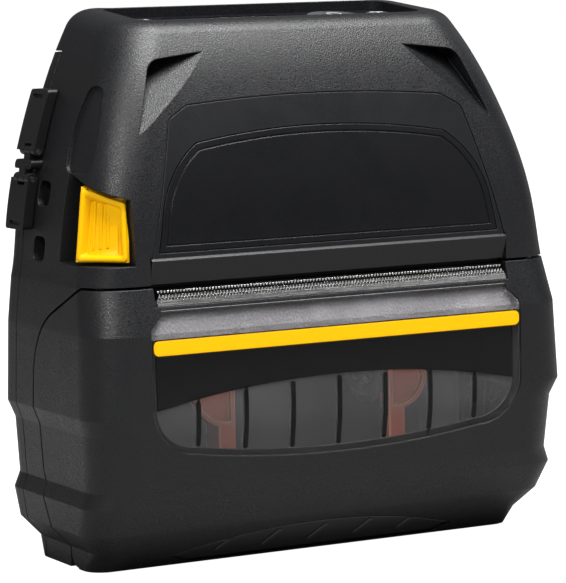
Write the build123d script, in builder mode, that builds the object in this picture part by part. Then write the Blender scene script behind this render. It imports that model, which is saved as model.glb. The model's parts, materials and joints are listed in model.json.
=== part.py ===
from build123d import *
from functools import cache
import math
import os

# Portable label printer, millimetres. X runs left to right, Y from the window to the back, Z up.
# The origin is under the middle of the printer, which stands on its lower end.

# Overall size
BODY_WIDTH = 155.0
BODY_DEPTH = 67.0
BODY_HEIGHT = 158.0
WALL = 2.4
SEAM = 0.8
FIT = 0.3
HALF_WIDTH = BODY_WIDTH / 2
FRONT = -BODY_DEPTH / 2
REAR = BODY_DEPTH / 2

# Places well clear of the body, where cuts start and end
ASIDE = 90.0
AHEAD = -45.0
BEHIND = 60.0
BELOW = -20.0
ABOVE = 170.0
FACE_START = FRONT - 5.0
FACE_END = -12.0

# Heights that the whole body shares
PARTING_HEIGHT = 82.0
TOP_SLOPE = 6.4
TOP_ROUND = 8.0
BACK_SPLIT = 21.0

# Cross-sections of the body below the parting line, which its bumper steps follow:
# height, side inset, front setback, rear setback, front corner radius, rear corner radius
LOWER_SECTIONS = [
    (0.0, 8.0, 22.5, 6.5, 6.0, 6.0),
    (6.0, 8.0, 16.5, 4.1, 6.0, 6.0),
    (12.0, 2.5, 10.5, 1.7, 9.0, 7.0),
    (20.5, 1.3, 5.2, 0.0, 9.0, 8.0),
    (25.0, 2.8, 3.0, 0.0, 12.0, 9.0),
    (41.0, 1.9, 0.3, 0.0, 13.0, 9.0),
    (46.0, 0.0, 0.0, 0.0, 11.0, 8.0),
    (69.0, 0.9, 0.0, 0.0, 12.0, 8.0),
    (PARTING_HEIGHT, 2.3, 3.9, 0.0, 12.0, 8.0),
]
# The same above it, with each height counted down from the top of the body
UPPER_SECTIONS = [
    (BODY_HEIGHT - PARTING_HEIGHT, 2.3, 3.9, 0.0, 12.0, 8.0),
    (62.0, 4.2, 4.3, 0.0, 12.5, 8.0),
    (46.0, 6.9, 6.9, 0.0, 13.0, 8.0),
    (30.0, 11.2, 11.5, 0.0, 13.5, 9.0),
    (17.0, 15.6, 16.6, 0.0, 14.0, 10.0),
    (6.0, 20.3, 22.9, 0.0, 14.0, 11.0),
    (-6.0, 26.0, 31.5, 0.0, 14.0, 12.0),
]

# Cover hinge and the parting line between cover and housing, seen from the side
HINGE_Y = -1.2
HEEL_RADIUS = 4.4
HINGE_Z = HEEL_RADIUS
PARTING_BACK = 8.7
PARTING_LOW = 28.0
PARTING_MID = 56.5
HINGE_PIN_RADIUS = 1.5
KNUCKLE_RADIUS = 3.2
RUNNING = 0.05

# Roll bay
BAY_HALF = 62.0
BULKHEAD = 1.8
CHEEK_LOW = 62.0
BAY_FLOOR = 14.0
BAY_ROOF = 80.4
LINER = 1.5
ROLL_Y = 0.5
ARM_ROD = (11.0, 12.5)
ARM_ROD_RADIUS = 1.5
ROLL_Z = 51.0

# Platen, gears and printhead
PLATEN_Y = -22.0
PLATEN_Z = 72.8
PLATEN_RADIUS = 6.0
PLATEN_HALF = 55.5
SHAFT_RADIUS = 2.5
GEAR_MODULE = 0.7
PLATEN_TEETH = 16
IDLER_TEETH = 27
MOTOR_TEETH = 12
IDLER_ANGLE = 30.0
MOTOR_ANGLE = 60.0
GEAR_WIDTH = 3.2

# Window in the front cover
WINDOW_HALF = 59.6
WINDOW_TOP = 75.2
WINDOW_BOTTOM = 31.5
WINDOW_THICKNESS = 2.0
TRIM = 0.3
STRIPE_LOW = 63.2
STRIPE_HIGH = 67.4
RIB_PITCH = 15.0

# Upper front
BEZEL_HALF = 57.4
BEZEL_DEPTH = 1.8
RIDGE_HEIGHT = 88.8
PANEL_DEPTH = 1.0

# Top well and its keys
WELL_HALF = 46.5
WELL_LENGTH = 29.0
WELL_DEPTH = 8.0
PLATE = 1.6
KEY_TRAVEL = 0.6


def section(height, side, front, rear, front_radius, rear_radius, inset=0.0):
    """Rounded outline of the body at one height, drawn smaller by an inset."""
    half = HALF_WIDTH - side - inset
    near = FRONT + front + inset
    far = REAR - rear - inset
    r_near = max(front_radius - inset, 1.0)
    r_far = max(rear_radius - inset, 1.0)
    cut = 1 - math.sqrt(0.5)
    with BuildSketch(Plane.XY.offset(height)) as outline:
        with BuildLine():
            Line((-half + r_near, near), (half - r_near, near))
            ThreePointArc((half - r_near, near), (half - r_near * cut, near + r_near * cut), (half, near + r_near))
            Line((half, near + r_near), (half, far - r_far))
            ThreePointArc((half, far - r_far), (half - r_far * cut, far - r_far * cut), (half - r_far, far))
            Line((half - r_far, far), (-half + r_far, far))
            ThreePointArc((-half + r_far, far), (-half + r_far * cut, far - r_far * cut), (-half, far - r_far))
            Line((-half, far - r_far), (-half, near + r_near))
            ThreePointArc((-half, near + r_near), (-half + r_near * cut, near + r_near * cut), (-half + r_near, near))
        make_face()
    return outline.sketch


SLOPE = math.radians(TOP_SLOPE)
TOP_ORIGIN = (0, REAR - TOP_ROUND - TOP_ROUND * math.sin(SLOPE), BODY_HEIGHT - TOP_ROUND + TOP_ROUND * math.cos(SLOPE))
TOP_PLANE = Plane(origin=TOP_ORIGIN, x_dir=(1, 0, 0), z_dir=(0, -math.sin(SLOPE), math.cos(SLOPE)))


@cache
def body(inset=0.0, rounded=False):
    """The printer's whole outer form, or the same form drawn smaller all round by an inset."""
    lower = [section(*values, inset=inset) for values in LOWER_SECTIONS]
    upper = [section(BODY_HEIGHT - values[0], *values[1:], inset=inset) for values in UPPER_SECTIONS]
    with BuildPart() as form:
        loft(lower, ruled=True)
        loft(upper)
        split(bisect_by=TOP_PLANE.offset(-inset), keep=Keep.BOTTOM)
        if inset > 0:
            split(bisect_by=Plane.XY.offset(inset), keep=Keep.TOP)
        if rounded:
            rim = form.faces().sort_by(Axis.Z)[-1].edges()
            fillet(rim, TOP_ROUND)
    return form.part


def block(x0, x1, y0, y1, z0, z1, mode=Mode.ADD):
    """A box between two corners, added to the open part."""
    with Locations(((x0 + x1) / 2, (y0 + y1) / 2, (z0 + z1) / 2)):
        Box(abs(x1 - x0), y1 - y0, z1 - z0, mode=mode)


def side_plate(points, x0, x1, mode=Mode.ADD):
    """A plate with a side-view outline, from x0 to x1."""
    with BuildSketch(Plane.YZ.offset(min(x0, x1))) as outline:
        with BuildLine():
            Polyline(*points, close=True)
        make_face()
    extrude(outline.sketch, amount=abs(x1 - x0), mode=mode)


def plan_plate(points, z0, z1, mode=Mode.ADD):
    """A plate with a top-view outline, from z0 to z1."""
    with BuildSketch(Plane.XY.offset(z0)) as outline:
        with BuildLine():
            Polyline(*points, close=True)
        make_face()
    extrude(outline.sketch, amount=z1 - z0, mode=mode)


def front_plate(outline, y0, y1, mode=Mode.ADD):
    """A front-view sketch carried from y0 back to y1."""
    extrude(outline.moved(Location((0, y1, 0))), amount=y1 - y0, dir=(0, -1, 0), mode=mode)


def rod(axis, centre, radius, start, end, mode=Mode.ADD):
    """A round bar along X, Y or Z, given by the other two coordinates of its axis."""
    planes = {"x": Plane.YZ, "y": Plane.XZ, "z": Plane.XY}
    plane = planes[axis]
    shift = -end if axis == "y" else start
    with BuildSketch(plane.offset(shift)) as circle:
        with Locations(centre):
            Circle(radius)
    extrude(circle.sketch, amount=end - start, mode=mode)


def cover_side(grow, square_heel=False):
    """Side view of all that the front cover takes up, as a sketch grown by a clearance."""
    heel_back = HINGE_Y + HEEL_RADIUS
    far = FRONT - 30
    with BuildSketch(Plane.YZ) as outline:
        with BuildLine():
            Polyline((far, PARTING_HEIGHT), (-20.5, PARTING_HEIGHT), (-2.8, PARTING_HEIGHT - 8.2))
            ThreePointArc((-2.8, PARTING_HEIGHT - 8.2), (5.4, PARTING_HEIGHT - 15.6), (PARTING_BACK, PARTING_MID))
            Polyline((PARTING_BACK, PARTING_MID), (PARTING_BACK, PARTING_LOW), (heel_back + 1, 12), (heel_back, HINGE_Z))
            if square_heel:
                Polyline((heel_back, HINGE_Z), (heel_back, -20), (far, -20), (far, PARTING_HEIGHT))
            else:
                bend = HEEL_RADIUS * math.sqrt(0.5)
                ThreePointArc((heel_back, HINGE_Z), (HINGE_Y + bend, HINGE_Z - bend), (HINGE_Y, HINGE_Z - HEEL_RADIUS))
                Polyline((HINGE_Y, HINGE_Z - HEEL_RADIUS), (HINGE_Y, -20), (far, -20), (far, PARTING_HEIGHT))
        make_face()
        offset(amount=grow)
    return outline.sketch


def cover_zone(grow, square_heel=False):
    """The space of the front cover over the whole width."""
    reach = HALF_WIDTH + 10
    with BuildPart() as zone:
        extrude(cover_side(grow, square_heel).moved(Location((-reach, 0, 0))), amount=2 * reach)
    return zone.part


os.makedirs("parts", exist_ok=True)


def keep(piece, label):
    """Name a finished piece and write it out."""
    piece.part.label = label
    export_step(piece.part, f"parts/{label}.step")


def smooth_front(points, mid_points):
    """Front-view outline from straight runs and arcs; an arc's middle point follows its start."""
    with BuildSketch(Plane.XZ) as outline:
        with BuildLine():
            for start, end in zip(points, points[1:] + points[:1]):
                if start in mid_points:
                    ThreePointArc(start, mid_points[start], end)
                else:
                    Line(start, end)
        make_face()
    return outline.sketch


def window_outline(grow=0.0):
    """Front view of the smoked window."""
    edge = WINDOW_HALF
    corner = (edge - 13.6, WINDOW_BOTTOM + 3.5)
    side = (edge, WINDOW_BOTTOM + 18.5)
    points = [(-corner[0], corner[1]), corner, side, (edge, WINDOW_TOP - 5), (edge - 3.9, WINDOW_TOP - 1.2),
              (edge - 3.9, WINDOW_TOP), (3.9 - edge, WINDOW_TOP), (3.9 - edge, WINDOW_TOP - 1.2), (-edge, WINDOW_TOP - 5),
              (-side[0], side[1])]
    mids = {
        (-corner[0], corner[1]): (0, WINDOW_BOTTOM),
        corner: (edge - 3.0, WINDOW_BOTTOM + 8.6),
        (-side[0], side[1]): (3.0 - edge, WINDOW_BOTTOM + 8.6),
    }
    sketch = smooth_front(points, mids)
    if grow:
        with BuildSketch(Plane.XZ) as grown:
            add(sketch)
            offset(amount=grow)
        sketch = grown.sketch
    return sketch


def skin(outline, outset, inset, y0=FACE_START, y1=FACE_END):
    """The layer of the body's skin between two insets, inside a front-view outline."""
    with BuildPart() as layer:
        front_plate(outline, y0, y1)
        add(body(outset), mode=Mode.INTERSECT)
        add(body(inset), mode=Mode.SUBTRACT)
    return layer.part


def side_skin(outline, outset, inset, x0, x1):
    """The layer of the body's skin between two insets, inside a side-view outline."""
    with BuildPart() as layer:
        extrude(outline.moved(Location((x0, 0, 0))), amount=x1 - x0)
        add(body(outset), mode=Mode.INTERSECT)
        add(body(inset), mode=Mode.SUBTRACT)
    return layer.part


def gear_outline(plane, centre, teeth, module, phase, bore):
    """A spur gear's outline with straight-sided teeth; phase is the angle of one tooth's middle."""
    pitch_radius = teeth * module / 2
    root = pitch_radius - 1.15 * module
    tip = pitch_radius + 0.9 * module
    step = 360 / teeth
    points = []
    for tooth in range(teeth):
        middle = phase + tooth * step
        for radius, share in ((root, -0.33), (tip, -0.12), (tip, 0.12), (root, 0.33)):
            angle = math.radians(middle + share * step)
            points.append((centre[0] + radius * math.cos(angle), centre[1] + radius * math.sin(angle)))
    with BuildSketch(plane) as outline:
        with BuildLine():
            Polyline(*points, close=True)
        make_face()
        with Locations(centre):
            Circle(bore, mode=Mode.SUBTRACT)
    return outline.sketch


def meshing_phase(phase, teeth, other_teeth, direction):
    """The phase that puts a gap of the second gear on the first gear's tooth, along a direction."""
    step = 360 / teeth
    other_step = 360 / other_teeth
    lead = ((phase - direction) % step) * teeth / other_teeth
    return direction + 180 - lead + other_step / 2


def toothed_edge(x0, x1, low, high, pitch):
    """Points of a saw-toothed edge from x0 to x1."""
    count = round((x1 - x0) / pitch)
    step = (x1 - x0) / count
    points = []
    for tooth in range(count):
        points.append((x0 + tooth * step, low))
        points.append((x0 + (tooth + 0.5) * step, high))
    return points + [(x1, low)]


# Side view of the gear train
PLATEN_AXIS = (PLATEN_Y, PLATEN_Z)
IDLER_REACH = GEAR_MODULE * (PLATEN_TEETH + IDLER_TEETH) / 2
IDLER_AXIS = (
    PLATEN_Y + IDLER_REACH * math.cos(math.radians(IDLER_ANGLE)),
    PLATEN_Z + IDLER_REACH * math.sin(math.radians(IDLER_ANGLE)),
)
MOTOR_REACH = GEAR_MODULE * (IDLER_TEETH + MOTOR_TEETH) / 2
MOTOR_AXIS = (
    IDLER_AXIS[0] + MOTOR_REACH * math.cos(math.radians(MOTOR_ANGLE)),
    IDLER_AXIS[1] + MOTOR_REACH * math.sin(math.radians(MOTOR_ANGLE)),
)
HINGE_AXIS = (HINGE_Y, HINGE_Z)
GEAR_START = BAY_HALF + BULKHEAD + 0.4
GEAR_END = GEAR_START + GEAR_WIDTH
PLATE_INNER = 59.1
PLATE_STEEL = 1.4
PLATE_OUTER = PLATE_INNER + PLATE_STEEL
MOTOR_FACE = 50.0

# Knuckles of the cover hinge: the cover's stand between the housing's ears
EAR_SPANS = ((41.5, 45.7), (56.3, 60.5))
KNUCKLE_SPAN = (46.0, 56.0)

outer = body(0.0, rounded=True)
inner = body(WALL)
liner_space = body(WALL + 0.1)
cover_space = cover_zone(-SEAM / 2)
housing_limit = cover_zone(SEAM / 2, square_heel=True)

# Front cover: a shell with a cheek each side of the roll bay, hinge knuckles and the window opening
SLOT_HALF = 57.2
TEAR_LOW = WINDOW_TOP + 1.5
TEAR_SEAT = 78.0
TEAR_TIP = 78.9
LIP_HALF = 46.0
LIP_DEPTH = 1.0


def lip_outline(grow=0.0):
    """Front view of the glossy lip in the cover's lower edge."""
    half = LIP_HALF + grow
    low = 1.0 - grow
    high = 9.6 + grow
    shoulder = 3.2
    points = [(-half, shoulder), (half, shoulder), (half - 6, low), (6 - half, low)]
    return smooth_front(points, {(-half, shoulder): (0, high)})


with BuildPart() as cover_cheeks:
    for side in (-1, 1):
        start = BAY_HALF if side > 0 else -BAY_HALF - BULKHEAD
        extrude(cover_side(-SEAM / 2).moved(Location((start, 0, 0))), amount=BULKHEAD)
    add(body(WALL / 2), mode=Mode.INTERSECT)
    # Below the cheeks the ears of the open media arms have room
    split(bisect_by=Plane.XY.offset(CHEEK_LOW), keep=Keep.TOP)

with BuildPart() as cover_frame:
    add(outer)
    add(inner, mode=Mode.SUBTRACT)
    add(cover_space, mode=Mode.INTERSECT)
    add(cover_cheeks.part)
    front_plate(window_outline(FIT), FACE_START, FACE_END, mode=Mode.SUBTRACT)
    block(-SLOT_HALF, SLOT_HALF, FACE_START, PLATEN_Y - 4, TEAR_SEAT, PARTING_HEIGHT, mode=Mode.SUBTRACT)
    for side in (-1, 1):
        near, far = KNUCKLE_SPAN
        x0, x1 = sorted((side * near, side * far))
        rod("x", HINGE_AXIS, KNUCKLE_RADIUS, x0, x1)
        side_plate([(HINGE_Y - 11, WALL / 2), (HINGE_Y, WALL / 2), (HINGE_Y, HINGE_Z + KNUCKLE_RADIUS - 0.2)], x0, x1)
        for near, far in EAR_SPANS:
            x0, x1 = sorted((side * (near - FIT), side * (far + FIT)))
            block(x0, x1, HINGE_Y - 7, HINGE_Y + 7, -1, HINGE_Z + 6, mode=Mode.SUBTRACT)
        rod("x", HINGE_AXIS, HINGE_PIN_RADIUS + RUNNING, *sorted((side * 40, side * 62)), mode=Mode.SUBTRACT)
        x0, x1 = sorted((side * (BAY_HALF - 1), side * (BAY_HALF + 3)))
        rod("x", PLATEN_AXIS, 4.0, x0, x1, mode=Mode.SUBTRACT)
    add(skin(lip_outline(FIT), -1.0, LIP_DEPTH, FRONT, HINGE_Y), mode=Mode.SUBTRACT)
    with BuildSketch(Plane.XZ) as tear_seat:
        with Locations((0, (TEAR_LOW + TEAR_TIP) / 2)):
            Rectangle(2 * SLOT_HALF, TEAR_TIP - TEAR_LOW + 0.4)
    add(skin(tear_seat.sketch, -1.0, 0.9), mode=Mode.SUBTRACT)
keep(cover_frame, "cover_frame")

# Smoked window with its seven ribs, the black band printed behind it and the yellow stripe on it
RIB_WIDTH = 1.4
RIB_DEEP = 1.2
RIB_FOOT = 1.7
RIB_HEAD = 21.5
RIB_FOOT_RISE = 3.4
RIB_HEAD_FALL = 3.7
SEAL_LIP = 1.5
SEAL_THICK = 0.8
with BuildSketch(Plane.XZ) as rib_marks:
    for place in range(-3, 4):
        fall = (place / 3) ** 2
        low = WINDOW_BOTTOM + RIB_FOOT + RIB_FOOT_RISE * fall
        high = WINDOW_BOTTOM + RIB_HEAD - RIB_HEAD_FALL * fall
        with Locations((place * RIB_PITCH, (low + high) / 2)):
            SlotOverall(high - low, RIB_WIDTH, rotation=90)

BACK_OF_GLASS = TRIM + WINDOW_THICKNESS
with BuildPart() as cover_window:
    add(skin(window_outline(), TRIM, BACK_OF_GLASS))
    add(skin(rib_marks.sketch, BACK_OF_GLASS - 0.2, BACK_OF_GLASS + RIB_DEEP))
keep(cover_window, "cover_window")

with BuildSketch(Plane.XZ) as seal_ring:
    add(window_outline(SEAL_LIP))
    add(window_outline(-SEAL_LIP), mode=Mode.SUBTRACT)
with BuildPart() as window_seal:
    add(skin(seal_ring.sketch, WALL, WALL + SEAL_THICK))
    block(-SLOT_HALF, SLOT_HALF, FRONT, PLATEN_Y - 4, TEAR_SEAT, PARTING_HEIGHT, mode=Mode.SUBTRACT)
keep(window_seal, "window_seal")

MASK_LOW = 53.7
MASK_SAG = 6.4
FILM = 0.3
with BuildSketch(Plane.XZ) as mask_area:
    with BuildLine():
        ThreePointArc((-WINDOW_HALF, MASK_LOW - MASK_SAG), (0, MASK_LOW), (WINDOW_HALF, MASK_LOW - MASK_SAG))
        Polyline((WINDOW_HALF, MASK_LOW - MASK_SAG), (WINDOW_HALF, STRIPE_HIGH + 1.4),
                 (-WINDOW_HALF, STRIPE_HIGH + 1.4), (-WINDOW_HALF, MASK_LOW - MASK_SAG))
    make_face()
    add(window_outline(-1.7), mode=Mode.INTERSECT)
with BuildPart() as window_mask:
    add(skin(mask_area.sketch, BACK_OF_GLASS, BACK_OF_GLASS + FILM))
keep(window_mask, "window_mask")

STRIPE_HALF = WINDOW_HALF - 0.3
with BuildSketch(Plane.XZ) as stripe_area:
    with Locations((0, (STRIPE_LOW + STRIPE_HIGH) / 2)):
        Rectangle(2 * STRIPE_HALF, STRIPE_HIGH - STRIPE_LOW)
    fillet(stripe_area.vertices().group_by(Axis.Z)[-1], 1.6)
with BuildPart() as yellow_stripe:
    add(skin(stripe_area.sketch, 0.0, TRIM))
keep(yellow_stripe, "yellow_stripe")

# Glossy lip under the window, with slanted ribs at the same pitch
with BuildSketch(Plane.XZ) as lip_ribs:
    for place in range(-2, 3):
        with Locations((place * RIB_PITCH, 5.4)):
            SlotOverall(6.4, 1.3, rotation=50)
    add(lip_outline(-0.5), mode=Mode.INTERSECT)
with BuildPart() as bottom_insert:
    add(skin(lip_outline(), 0.5, LIP_DEPTH, FRONT, HINGE_Y))
    add(skin(lip_ribs.sketch, 0.0, 0.6, FRONT, HINGE_Y))
keep(bottom_insert, "bottom_insert")

# Steel tear bar on the cover's upper edge
TEAR_HALF = 56.5
TOOTH_PITCH = 1.0
teeth = toothed_edge(-TEAR_HALF, TEAR_HALF, TEAR_SEAT, TEAR_TIP, TOOTH_PITCH)
with BuildSketch(Plane.XZ) as tear_outline:
    with BuildLine():
        Polyline((TEAR_HALF, TEAR_LOW), (-TEAR_HALF, TEAR_LOW), *teeth, close=True)
    make_face()
with BuildPart() as lower_tear_bar:
    add(skin(tear_outline.sketch, 0.1, 0.9))
keep(lower_tear_bar, "lower_tear_bar")

# Platen bearings: flanged bushes in the cover's cheeks, whose inner ends take the latch hooks
LATCH_BOSS = 3.2
with BuildPart() as platen_bearings:
    for side in (-1, 1):
        rod("x", PLATEN_AXIS, LATCH_BOSS, *sorted((side * (PLATEN_HALF + 1.0), side * (BAY_HALF + BULKHEAD))))
        rod("x", PLATEN_AXIS, 4.0, *sorted((side * BAY_HALF, side * (BAY_HALF + BULKHEAD))))
        rod("x", PLATEN_AXIS, 5.2, *sorted((side * (BAY_HALF - 1.0), side * BAY_HALF)))
    rod("x", PLATEN_AXIS, SHAFT_RADIUS + RUNNING, -HALF_WIDTH, HALF_WIDTH, mode=Mode.SUBTRACT)
keep(platen_bearings, "platen_bearings")

with BuildPart() as platen_roller:
    rod("x", PLATEN_AXIS, PLATEN_RADIUS, -PLATEN_HALF, PLATEN_HALF)
    chamfer(platen_roller.edges().filter_by(GeomType.CIRCLE), 0.4)
    rod("x", PLATEN_AXIS, SHAFT_RADIUS, -PLATEN_HALF, PLATEN_HALF, mode=Mode.SUBTRACT)
keep(platen_roller, "platen_roller")

with BuildPart() as platen_shaft:
    rod("x", PLATEN_AXIS, SHAFT_RADIUS, -BAY_HALF - BULKHEAD - 0.8, GEAR_END + 0.6)
    chamfer(platen_shaft.edges().filter_by(GeomType.CIRCLE), 0.3)
keep(platen_shaft, "platen_shaft")

gear_plane = Plane.YZ.offset(GEAR_START)
with BuildPart() as platen_gear:
    extrude(gear_outline(gear_plane, PLATEN_AXIS, PLATEN_TEETH, GEAR_MODULE, IDLER_ANGLE, SHAFT_RADIUS),
            amount=GEAR_WIDTH)
keep(platen_gear, "platen_gear")

STUD_RADIUS = 1.25
idler_phase = meshing_phase(IDLER_ANGLE, PLATEN_TEETH, IDLER_TEETH, IDLER_ANGLE)
with BuildPart() as idler_gear:
    extrude(
        gear_outline(gear_plane, IDLER_AXIS, IDLER_TEETH, GEAR_MODULE, idler_phase, STUD_RADIUS + RUNNING),
        amount=GEAR_WIDTH,
    )
keep(idler_gear, "idler_gear")

MOTOR_SHAFT = 1.0
pinion_phase = meshing_phase(idler_phase, IDLER_TEETH, MOTOR_TEETH, MOTOR_ANGLE)
with BuildPart() as motor_pinion:
    extrude(gear_outline(gear_plane, MOTOR_AXIS, MOTOR_TEETH, GEAR_MODULE, pinion_phase, MOTOR_SHAFT),
            amount=GEAR_WIDTH)
    rod("x", MOTOR_AXIS, MOTOR_SHAFT, MOTOR_FACE + FIT, GEAR_END + 0.4)
keep(motor_pinion, "motor_pinion")

# Panels on the upper front: a bezel with a slanted chin over the label slot, and a panel set into it
CHIN_LOW = 82.6
CHIN_BACK = -26.8


def bezel_outline(grow=0.0):
    """Front view of the upper front bezel."""
    with BuildSketch(Plane.XZ) as outline:
        with BuildLine():
            Polyline((-41.2, 131.0), (-47.3, 127.4), (-BEZEL_HALF, RIDGE_HEIGHT - 0.8), (-BEZEL_HALF, CHIN_LOW),
                     (BEZEL_HALF, CHIN_LOW), (BEZEL_HALF, RIDGE_HEIGHT - 0.8), (47.3, 127.4), (41.2, 131.0))
            ThreePointArc((41.2, 131.0), (0, 132.9), (-41.2, 131.0))
        make_face()
        fillet(outline.vertices().group_by(Axis.Z)[0], 2.5)
        if grow:
            offset(amount=grow)
    return outline.sketch


def panel_outline(grow=0.0):
    """Front view of the dark panel set into the bezel."""
    with BuildSketch(Plane.XZ) as outline:
        with BuildLine():
            Polyline((-54.6, 91.4), (54.6, 91.4), (52.6, 102.5))
            ThreePointArc((52.6, 102.5), (48.6, 112.0), (40.0, 120.6))
            ThreePointArc((40.0, 120.6), (0, 124.0), (-40.0, 120.6))
            ThreePointArc((-40.0, 120.6), (-48.6, 112.0), (-52.6, 102.5))
            Line((-52.6, 102.5), (-54.6, 91.4))
        make_face()
        if grow:
            offset(amount=grow)
    return outline.sketch


with BuildPart() as front_bezel:
    add(skin(bezel_outline(), 0.15, BEZEL_DEPTH))
    block(-80, 80, FRONT - 5, 0, 80, RIDGE_HEIGHT, mode=Mode.SUBTRACT)
    side_plate(
        [(-30.1, RIDGE_HEIGHT + 0.3), (-28.3, CHIN_LOW), (CHIN_BACK, CHIN_LOW), (CHIN_BACK, RIDGE_HEIGHT + 0.6),
         (-29.3, RIDGE_HEIGHT + 0.9)],
        -BEZEL_HALF, BEZEL_HALF,
    )
    add(skin(panel_outline(0.35), -1.0, PANEL_DEPTH), mode=Mode.SUBTRACT)
keep(front_bezel, "front_bezel")

with BuildPart() as front_panel:
    add(skin(panel_outline(), 0.1, PANEL_DEPTH))
    with BuildSketch(Plane.XZ) as groove:
        add(panel_outline(-1.6))
        add(panel_outline(-2.1), mode=Mode.SUBTRACT)
    add(skin(groove.sketch, -1.0, 0.4), mode=Mode.SUBTRACT)
keep(front_panel, "front_panel")

# Steel tear bar over the slot: a foot against the chin and a saw-toothed leaf
UPPER_TEAR_HALF = 56.6
UPPER_TEAR_Z = 80.6
UPPER_TEAR_STEEL = 0.6
with BuildPart() as upper_tear_bar:
    block(-UPPER_TEAR_HALF, UPPER_TEAR_HALF, CHIN_BACK, CHIN_BACK + UPPER_TEAR_STEEL, UPPER_TEAR_Z, 86.0)
    edge = toothed_edge(-UPPER_TEAR_HALF, UPPER_TEAR_HALF, -28.4, -29.2, TOOTH_PITCH)
    plan_plate([(UPPER_TEAR_HALF, CHIN_BACK + 0.3), (-UPPER_TEAR_HALF, CHIN_BACK + 0.3)] + edge,
               UPPER_TEAR_Z, UPPER_TEAR_Z + UPPER_TEAR_STEEL)
keep(upper_tear_bar, "upper_tear_bar")

# Latch lever in the left corner: its pivot, its recess and its swing
LEVER_PIVOT = (-60.3, -20.8)
LEVER_LOW = 89.0
LEVER_HIGH = 113.0
LEVER_THICK = 3.0
# Outer corners of the lever's foot, how far each leans back over the height, and that height
LEVER_OUTER = (-74.0, -15.8)
LEVER_INNER = (-63.4, -27.4)
OUTER_LEAN = (3.0, 1.2)
INNER_LEAN = (2.2, 2.6)
LEAN_HEIGHT = 22.0
LEVER_PIN = 1.25
RECESS_LOW = 88.0
RECESS_SIDE = -62.2
POCKET_LOW = 93.4
POCKET_HIGH = 107.2
RECESS_TOP = Plane(origin=(-62, -26, 106.5), x_dir=(1, 0, -0.154), z_dir=(0.154, -0.269, 1))


def lever_points(near, far, depth, thick):
    """Plan outline of the lever between its two outer corners, from a depth, with a thickness."""
    length = math.dist(near, far)
    inward = ((near[1] - far[1]) / length, (far[0] - near[0]) / length)
    corners = []
    for corner, step in ((near, depth), (far, depth), (far, depth + thick), (near, depth + thick)):
        corners.append((corner[0] + inward[0] * step, corner[1] + inward[1] * step))
    return corners


def lever_plate(low, high, trim, depth, thick):
    """A plate along the slanted outer corner between two heights, trimmed at both ends."""
    sections = []
    for height in (low, high):
        rise = (height - LEVER_LOW) / LEAN_HEIGHT
        near = (LEVER_OUTER[0] + OUTER_LEAN[0] * rise, LEVER_OUTER[1] + OUTER_LEAN[1] * rise)
        far = (LEVER_INNER[0] + INNER_LEAN[0] * rise, LEVER_INNER[1] + INNER_LEAN[1] * rise)
        length = math.dist(near, far)
        step = ((far[0] - near[0]) / length * trim, (far[1] - near[1]) / length * trim)
        near = (near[0] + step[0], near[1] + step[1])
        far = (far[0] - step[0], far[1] - step[1])
        with BuildSketch(Plane.XY.offset(height)) as outline:
            with BuildLine():
                Polyline(*lever_points(near, far, depth, thick), close=True)
            make_face()
        sections.append(outline.sketch)
    with BuildPart() as plate:
        loft(sections, ruled=True)
    return plate.part


with BuildPart() as latch_lever:
    add(lever_plate(LEVER_LOW, LEVER_HIGH, 0.0, 0.0, LEVER_THICK))
    block(RECESS_SIDE - 0.5, -50, AHEAD, 0, 80, 120, mode=Mode.SUBTRACT)
    add(lever_plate(LEVER_LOW + 1.8, LEVER_HIGH, 1.6, -1.0, 2.4), mode=Mode.SUBTRACT)
    for place in range(3):
        add(lever_plate(LEVER_LOW + 1.0, LEVER_HIGH, 3.6 + 0.1 * place, 0.9 + 0.3 * place, 1.0))
    split(bisect_by=RECESS_TOP.offset(-1.2), keep=Keep.BOTTOM)
    plan_plate([(-66.6, -20.4), (-63.2, -24.0), (-60.3, -23.1), (-60.3, -18.5)], POCKET_LOW + 0.5, POCKET_HIGH - 0.5)
    rod("z", LEVER_PIVOT, 2.4, POCKET_LOW + 0.5, POCKET_HIGH - 0.5)
    rod("z", LEVER_PIVOT, LEVER_PIN + RUNNING, 80, 120, mode=Mode.SUBTRACT)
keep(latch_lever, "latch_lever")

with BuildPart() as lever_pin:
    rod("z", LEVER_PIVOT, LEVER_PIN, POCKET_LOW - 1.2, POCKET_HIGH + 1.2)
keep(lever_pin, "lever_pin")

with BuildPart() as lever_spring:
    block(RECESS_SIDE - 0.8, RECESS_SIDE, -16.8, -14.2, 97.5, 103.5)
    plan_plate([(RECESS_SIDE - 0.4, -14.4), (-66.5, -12.5), (-66.7, -13.0), (RECESS_SIDE - 0.4, -15.0)], 98, 103)
keep(lever_spring, "lever_spring")

# Main housing: shell behind the parting line, with the well, the lever recess and two grip scoops
SPLIT_GAP = 0.25
REAR_TOP = 146.0
SCREW_PLACES = ((69.5, 24.0), (57.5, 138.0))
SCREW_RADIUS = 1.5
BOSS_RADIUS = 3.6
STRAP_Y = 9.5
STRAP_HEIGHTS = (91.0, 106.5)
STRAP_FLOOR = 66.0
STRAP_BAR = 70.4
SCREW_HEAD = 2.5
BOSS_START = 10.5
# Port openings: front, rear, and each one's middle height and how tall it is
PORT_FRONT = 15.5
PORT_REAR = 25.5
POWER_PORT = (126.4, 11.0)
DATA_PORT = (103.4, 8.0)


def rear_zone(grow):
    """The space of the rear housing."""
    with BuildPart() as zone:
        block(-ASIDE, ASIDE, BACK_SPLIT - grow, BEHIND, BELOW, REAR_TOP + grow)
    return zone.part


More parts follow.
